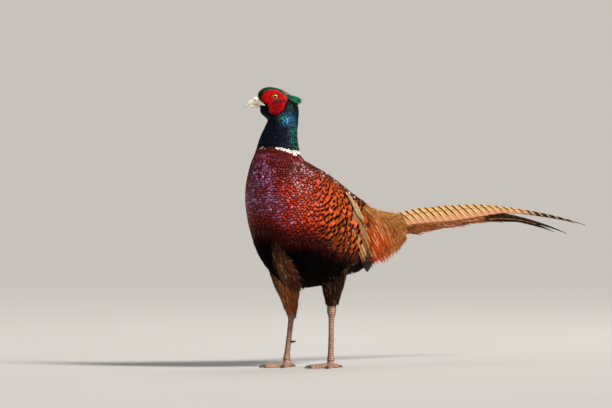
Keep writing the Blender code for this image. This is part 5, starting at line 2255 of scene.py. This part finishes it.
@dataclass(frozen=True)
class Barred(Finish):
    """The finish of long barred feathers."""

    name: str
    pitch: float
    width: float
    slant: float
    ground: tuple[float, float, float]
    low: tuple[float, float, float]
    fringe: tuple[float, float, float]
    bar: tuple[float, float, float]
    bar_end: float
    low_start: float
    fringe_start: float
    tip_start: float
    tip_width: float
    tip_dark: float

    def paint(self, n: Nodes, shader: bpy.types.Node) -> None:
        """Colour the ground, the fringe, the tip, the bars and the shaft.

        Args:
            n: The material's nodes.
            shader: Its Principled shader.
        """
        bars = n.add("ShaderNodeGroup", node_tree=barred_group())
        across, along, down, mark = n.read("across"), n.read("along"), n.read("down"), n.read("mark")
        begin = n.minus(self.tip_start + 0.26, n.times(mark, 0.26))
        late = n.step(along, begin, n.plus(begin, 0.12))
        width = n.plus(n.line(down, -0.45 * self.width, self.width), n.times(late, self.tip_width))
        slant = n.step(along, 0.4, 0.85, self.slant, 0.3 * self.slant)
        for key, value in (("Dist", n.read("dist")), ("Across", across), ("Down", down), ("Pitch", self.pitch),
                           ("Width", width), ("Slant", slant), ("Seed", n.read("seed"))):
            n.feed(bars.inputs[key], value)
        bar, pale, height = bars.outputs
        colour = n.mix(n.step(down, self.low_start, self.low_start + 0.3), srgb(*self.ground), srgb(*self.low))
        colour = n.mix(n.times(pale, 0.5), colour, n.mix(0.4, colour, srgb(250, 228, 180)))
        colour = n.mix(n.step(down, self.fringe_start, 0.95), colour, srgb(*self.fringe))
        colour = n.mix(n.times(n.times(late, mark), self.tip_dark), colour, srgb(4, 3, 3))
        reach = n.math("MAXIMUM", n.step(down, self.bar_end + 0.12, self.bar_end - 0.2), late)
        colour = n.mix(n.times(bar, reach), colour, srgb(*self.bar))
        colour = n.mix(n.times(n.step(n.size(across), 0.09, 0.03), 0.6), colour, srgb(110, 76, 48))
        colour = n.shade(colour, n.line(height, 0.6, 0.7))
        n.feed(shader.inputs["Base Color"], n.mix(1.0, colour, n.read("tint", "Color"), "MULTIPLY"))
        n.relief(shader, height, 0.35, 0.0004)
        self.settle(shader, Roughness=0.5, Specular_IOR_Level=0.08)


TAIL_FINISH = Barred("barred_tail", 13.0, 0.2, 17.0, (186, 142, 86), (168, 116, 84), (126, 70, 40), (9, 5, 4),
                     0.66, 0.42, 0.84, 0.43, 0.3, 0.95)
FLIGHT_FINISH = Barred("barred_flight", 9.0, 0.16, 4.0, (176, 140, 98), (110, 66, 42), (232, 204, 160),
                       (60, 34, 22), -0.3, 0.3, 0.8, 0.62, 0.0, 1.0)
COVERT_FINISH = Barred("beige_coverts", 30.0, 0.05, 3.0, (168, 140, 106), (140, 112, 84), (60, 30, 22),
                       (96, 64, 44), 0.4, 0.45, 0.8, 0.9, 0.0, 0.0)


@dataclass
class Tail:
    """The closed tail: eighteen graduated barred feathers under their coverts."""

    bird: Bird
    lengths: tuple[float, ...] = (387, 345, 262, 205, 160, 126, 98, 76, 58)
    droops: tuple[float, ...] = (0, 17, 9, 8, 7, 6, 5, 4, 3)
    widths: tuple[float, ...] = (30, 29, 27, 25, 23, 21, 19, 18, 17)
    points: tuple[float, ...] = (3.2, 5.5, 4.5)
    waists: tuple[float, ...] = (0.4, 0.5, 0.3)
    pitch: float = math.radians(56)
    root: float = 181.0
    height: float = 235.0
    rows: int = 130
    quick_rows: int = 60

    def ridge(self, y: Array) -> Array:
        """Height of the tail's ridge in millimetres at places along the bird."""
        low = 1.4 * (1 - ramp(y, 450, 570)) + 2.2 * bell((y, 290.0, 60.0))
        return self.height - low - 0.00051 * (y - 330.0) ** 2

    def axes(self, side: int) -> tuple[Array, Array]:
        """Directions down and out of one side of the tail's roof."""
        across, up = math.cos(self.pitch), math.sin(self.pitch)
        return np.array((side * across, 0, -up)), np.array((side * up, 0, across))

    def build(self) -> list[Piece]:
        """The tail's feathers and the fringe below them."""
        sides = [self.half(side) for side in (1, -1)]
        pieces, count = [], len(self.lengths)
        for side, (path, normal, inner, outer) in zip((1, -1), sides):
            look = {"tint": np.ones((count, 3)) * (1 - 0.04 * np.arange(count))[:, None],
                    "mark": np.where(np.arange(count) > 0, 1.0, 0.2)}
            piece = blade_feathers(f"tail_{which(side)}", path, normal, inner, outer, 0.6 * MM, 0.02, look,
                                   None, 11, 0.16, 61, flip=side > 0)
            pieces.append(TAIL_FINISH.dress(piece))
        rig.replaces(pieces[0], "tail")
        return pieces + [self.fringe(sides)]

    def half(self, side: int) -> tuple[Array, Array, Array, Array]:
        """The feathers of one side.

        Args:
            side: 1 for the bird's left, -1 for its right.

        Returns:
            Their shafts, outward directions and the widths of their two vanes.
        """
        t = np.linspace(0, 1, self.quick_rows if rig.quick() else self.rows)
        down, out = self.axes(side)
        path, widths = [], []
        for layer, (length, droop, wide) in enumerate(zip(self.lengths, self.droops, self.widths)):
            long = length - (14 if side < 0 and layer < 3 else 0) - (14 if layer == 2 else 0)
            y = self.root + (long + 12) * t - 18 * ramp(t, 0.06, 0.0)
            z = self.ridge(y) - droop * t ** (3.4 if layer == 1 else 2.5)
            taper, waist = self.points[min(layer, 2)], self.waists[min(layer, 2)]
            narrow = (1 - t**taper) * (0.62 + 0.38 * np.sin(math.pi * np.minimum(1, t * 1.6 + 0.15)))
            width = np.maximum(wide * narrow * (1 - waist * ramp(t, 0.4, 0.72)), 2.6 * (1.35 - t))
            inset = 0.9 + 1.75 * layer + (wide * 0.82 - width) * 0.28
            if layer:
                inset = inset + (4.5 if layer == 1 else 9.0) * ramp(t, 0.1, 0.5) * (1 - 0.3 * ramp(t, 0.75, 1))
            spine = np.stack([0 * y, y, z], 1) - out * 1.25 * layer
            path.append(spine + down * (inset + width * 0.3)[:, None])
            widths.append(width * MM)
        widths = np.array(widths)
        inner, outer = (widths * 0.7, widths * 0.3)[::side]
        return self.bird.world(np.array(path)), np.broadcast_to(out, (len(path), len(t), 3)), inner, outer

    def fringe(self, sides: list[tuple[Array, Array, Array, Array]]) -> Piece:
        """Loose rufous barbs along the lower edges.

        Args:
            sides: Shafts, outward directions and vane widths of each side.

        Returns:
            The piece.
        """
        rng = np.random.default_rng(63)
        start, lie, up, reach = [], [], [], []
        for side, (path, normal, inner, outer) in zip((1, -1), sides):
            down, width, rows = self.axes(side)[0], inner if side > 0 else outer, path.shape[1]
            for layer, length in enumerate(self.lengths):
                for _ in range(int(150 * length / self.lengths[0]) + 20):
                    i = int(rng.uniform(0.05, 0.4 if layer == 0 else 0.8) * rows)
                    start.append(path[layer, i] + down * width[layer, i] * 0.9)
                    lie.append(unit(np.array((0, 1.0, -0.02)) + down * rng.uniform(0.12, 0.4)))
                    up.append(normal[layer, i])
                    reach.append(rng.uniform(5, 13) * (1 - 0.6 * i / rows) * MM)
        t, count = np.linspace(0, 1, 5), len(start)
        path = np.array(start)[:, None] + np.array(lie)[:, None] * np.outer(reach, t)[..., None]
        wide = np.tile(0.35 * MM * np.sin(math.pi * (0.15 + 0.8 * t)), (count, 1))
        tint = srgb(150, 86, 48) * rng.uniform(0.6, 1.4, (count, 1))
        look = plain_look(tint, np.append(srgb(190, 120, 70), 0.2))
        piece = blade_feathers("tail_fringe", path, np.repeat(np.array(up)[:, None], 5, 1), wide, wide, 0.2 * MM,
                               0.0, look, rng.uniform(0.05, 0.95, (count, 2)), 3)
        return SOFT.dress(piece)


@dataclass
class Tier:
    """One tier of a wing's feathers.

    Its roots and tips are places and degrees on the trunk, its lift is a height over it.
    """

    name: str
    finish: Barred
    roots: Array
    tips: Array
    half: float
    lift: float
    spread: Array
    rows: int
    shingle: float
    seed: int
    look: Look
    blunt: float = 0.8


@dataclass
class Wing:
    """The folded wing of one side: flight feathers and the coverts that cover their roots."""

    bird: Bird
    side: int
    flights: int = 27
    coverts: int = 9
    thick: float = 0.45
    # The colours that every third feather is multiplied by, on the arm and at the tip.
    shades: Rings = ((0.95, 0.62, 0.3), (0.3, 0.16, 0.12), (1.0, 0.9, 0.75))
    pale: Rings = ((1.0, 0.72, 0.42), (0.4, 0.22, 0.14), (1.2, 1.12, 1.0))

    def lay(self, tier: Tier) -> Piece:
        """Lay a tier of feathers on the trunk.

        Args:
            tier: The tier.

        Returns:
            The dressed piece.
        """
        t = np.linspace(0, 1, tier.rows)[None]
        ends = ((tier.roots[:, k, None], tier.tips[:, k, None]) for k in (0, 1))
        place, degrees = (start + (end - start) * t for start, end in ends)
        angle = np.radians(degrees)
        normal = self.bird.trunk.normal(place, angle)
        lift = tier.lift + tier.spread[:, None] * t**2
        path = self.bird.trunk.at(place, angle) + normal * (lift * MM)[..., None]
        round_off = np.sqrt(np.clip(1 - ((t - tier.blunt) / (1.002 - tier.blunt)) ** 2, 0, 1))
        narrow = np.where(t > tier.blunt, round_off, 0.75 + 0.25 * t / tier.blunt)
        wide = np.repeat(np.maximum(tier.half * narrow, 0.5) * MM, len(path), 0)
        side = unit(np.cross(normal, unit(np.gradient(path, axis=1))))
        normal = unit(normal - side * tier.shingle)
        mirror = (self.side, 1, 1)
        piece = blade_feathers(f"{tier.name}_{which(self.side)}", path * mirror, normal * mirror, wide, wide,
                               self.thick * MM, 0.05, tier.look, None, 9, 0.12, tier.seed, flip=self.side > 0)
        return tier.finish.dress(piece)

    def build(self) -> list[Piece]:
        """Flight feathers and coverts."""
        share = np.linspace(0, 1, self.flights)
        angle, primary = 149 - 96 * share, ramp(share, 0.34, 0.2)
        tips = np.stack([np.interp(angle, *zip(*WING_TIPS)), angle], 1)
        shades, pale = (np.array(rows)[np.arange(self.flights) % 3] for rows in (self.shades, self.pale))
        flights = self.lay(Tier(
            "flight_feathers", FLIGHT_FINISH, np.stack([5.7 - 0.5 * share, 70 - 24 * share], 1), tips, 3.3, 0.4,
            (1 - share) ** 2 * 10 + 2.4, 44, 0.22, 71, {"tint": toward(shades, pale, primary), "mark": primary}))
        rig.replaces(flights, f"wing_{which(self.side)}")
        angle = np.linspace(78, 59, self.coverts)
        edge, one = np.interp(angle, *zip(*WING_EDGE)), np.ones(self.coverts)
        return [flights, self.lay(Tier(
            "pale_coverts", COVERT_FINISH, np.stack([edge + 0.15, angle - 9], 1),
            np.stack([edge - 0.34, angle + 3], 1), 3.4, 3.1, 1.5 * one, 26, 0.16, 73,
            {"tint": np.ones((self.coverts, 3)), "mark": 0 * one}))]


@dataclass
class Studio:
    """Plain pale floor, soft lights and the camera at the photograph's angle."""

    distance: float = 14.0
    width: float = 0.887
    azimuth: float = 44.5
    elevation: float = 1.25
    target: tuple[float, float, float] = (-0.0046, -0.0046, 0.2371)
    floor_size: float = 4000
    lamp_distance: float = 2.6
    # Lamps: name, azimuth, elevation, size or angle, power and colour.
    lamps: tuple[tuple[str, float, float, float, float, tuple[float, float, float]], ...] = (
        ("key", 100, 42, 0.26, 4.6, (1.0, 0.95, 0.88)), ("fill", 0, 30, 2.5, 10, (0.92, 0.95, 1.0)),
        ("rim", 200, 50, 1.5, 18, (1.0, 0.98, 0.95)),
    )

    def build(self, bird: Bird) -> None:
        """Floor, lights and camera.

        Args:
            bird: The bird that they are aimed at.
        """
        scene = bpy.context.scene
        bpy.ops.object.select_all(action="DESELECT")
        bpy.ops.mesh.primitive_plane_add(size=self.floor_size, location=(0, 0, 0))
        floor = bpy.context.active_object
        floor.name = "floor"
        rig.stage(PALE_FLOOR.dress(floor))
        world = scene.world = scene.world or bpy.data.worlds.new("studio")
        world.use_nodes = True
        n, backdrop = Nodes(world.node_tree), world.node_tree.nodes["Background"].inputs
        backdrop[0].default_value = (0.92, 0.94, 1.0, 1)
        n.feed(backdrop[1], n.line(n.add("ShaderNodeLightPath").outputs["Is Camera Ray"], 0.42, 0.18))
        shift = Vector((0, bird.shift[1], 0))
        for name, azimuth, elevation, size, power, tint in self.lamps:
            light = bpy.data.lights.new(name, "SUN" if name == "key" else "AREA")
            setattr(light, "angle" if name == "key" else "size", size)
            light.energy, light.color = power, tint
            self.aim(name, light, shift + Vector((0, 0, 0.2)), azimuth, elevation, self.lamp_distance)
        lens = bpy.data.cameras.new("camera")
        lens.lens, lens.clip_end = 36 * self.distance / self.width, 5000
        scene.camera = self.aim("camera", lens, shift + Vector(self.target), self.azimuth, self.elevation,
                                self.distance)
        scene.view_settings.view_transform = "Standard"

    @staticmethod
    def aim(name: str, data: bpy.types.ID, target: Vector, azimuth: float, elevation: float,
            distance: float) -> Piece:
        """Put a lamp or a camera round a target that it looks at.

        Args:
            name: The object's name.
            data: The lamp or camera.
            target: What it looks at.
            azimuth: Degrees from the bird's front toward its left.
            elevation: Degrees over the floor.
            distance: Metres from the target.

        Returns:
            The object.
        """
        a, e = math.radians(azimuth), math.radians(elevation)
        back = Vector((math.sin(a) * math.cos(e), -math.cos(a) * math.cos(e), math.sin(e)))
        thing = bpy.data.objects.new(name, data)
        thing.location = target + back * distance
        thing.rotation_euler = back.to_track_quat("Z", "Y").to_euler()
        bpy.context.scene.collection.objects.link(thing)
        return thing


# Material slots by how the pieces' names begin.
SLOTS = {
    "skin": "breast", "coat_thigh": "thigh", "coat_neck": "neck", "coat_head": "neck", "ear_tufts": "neck",
    "lore_feathers": "neck", "coat_": "breast", "wattle": "wattle", "lids": "wattle", "eyeball": "iris",
    "bill": "horn", "gape": "horn", "scaled": "leg", "horn_": "claw", "flight_feathers": "wing",
    "pale_coverts": "wing", "tail": "tail",
}


def main() -> None:
    """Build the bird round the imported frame."""
    logging.basicConfig(level=logging.INFO, format="%(name)s: %(message)s")
    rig.load()
    cad_box = [list(map(float, corner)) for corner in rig.bounds()]
    bird = Bird()
    Studio().build(bird)
    markings = Markings(bird)
    skin_maker = Skin(bird, markings)
    skin = skin_maker.build()
    skin_maker.dress(skin)
    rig.replaces(skin, "torso", "neck", "head", "thigh_left", "thigh_right")
    surface = Surface(skin)
    wattles = [Wattle(bird, side) for side in (1, -1)]
    pieces = [skin] + [wattle.build() for wattle in wattles]
    pieces += HeadCoat(bird, markings, surface, wattles, Surface(*pieces[1:])).build()
    pieces += BodyCoat(bird, markings, surface).build()
    for side in (1, -1):
        pieces += Eye(bird, side).build()
        pieces += Leg(bird, side).build()
        pieces.append(LegCoat(bird, side, surface).build())
        pieces += Wing(bird, side).build()
    pieces += Bill(bird).build()
    pieces += Tail(bird).build()
    for piece in pieces:
        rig.ride(piece, "root")
        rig.slot(piece, next(slot for start, slot in SLOTS.items() if piece.name.startswith(start)))
        log.info("%s: %d faces", piece.name, len(piece.data.polygons))
    with open("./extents.json", "w", encoding="utf-8") as out:
        json.dump({"cad": cad_box, "visual": [list(map(float, c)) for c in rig.bounds()]}, out)


if __name__ == "__main__":
    main()
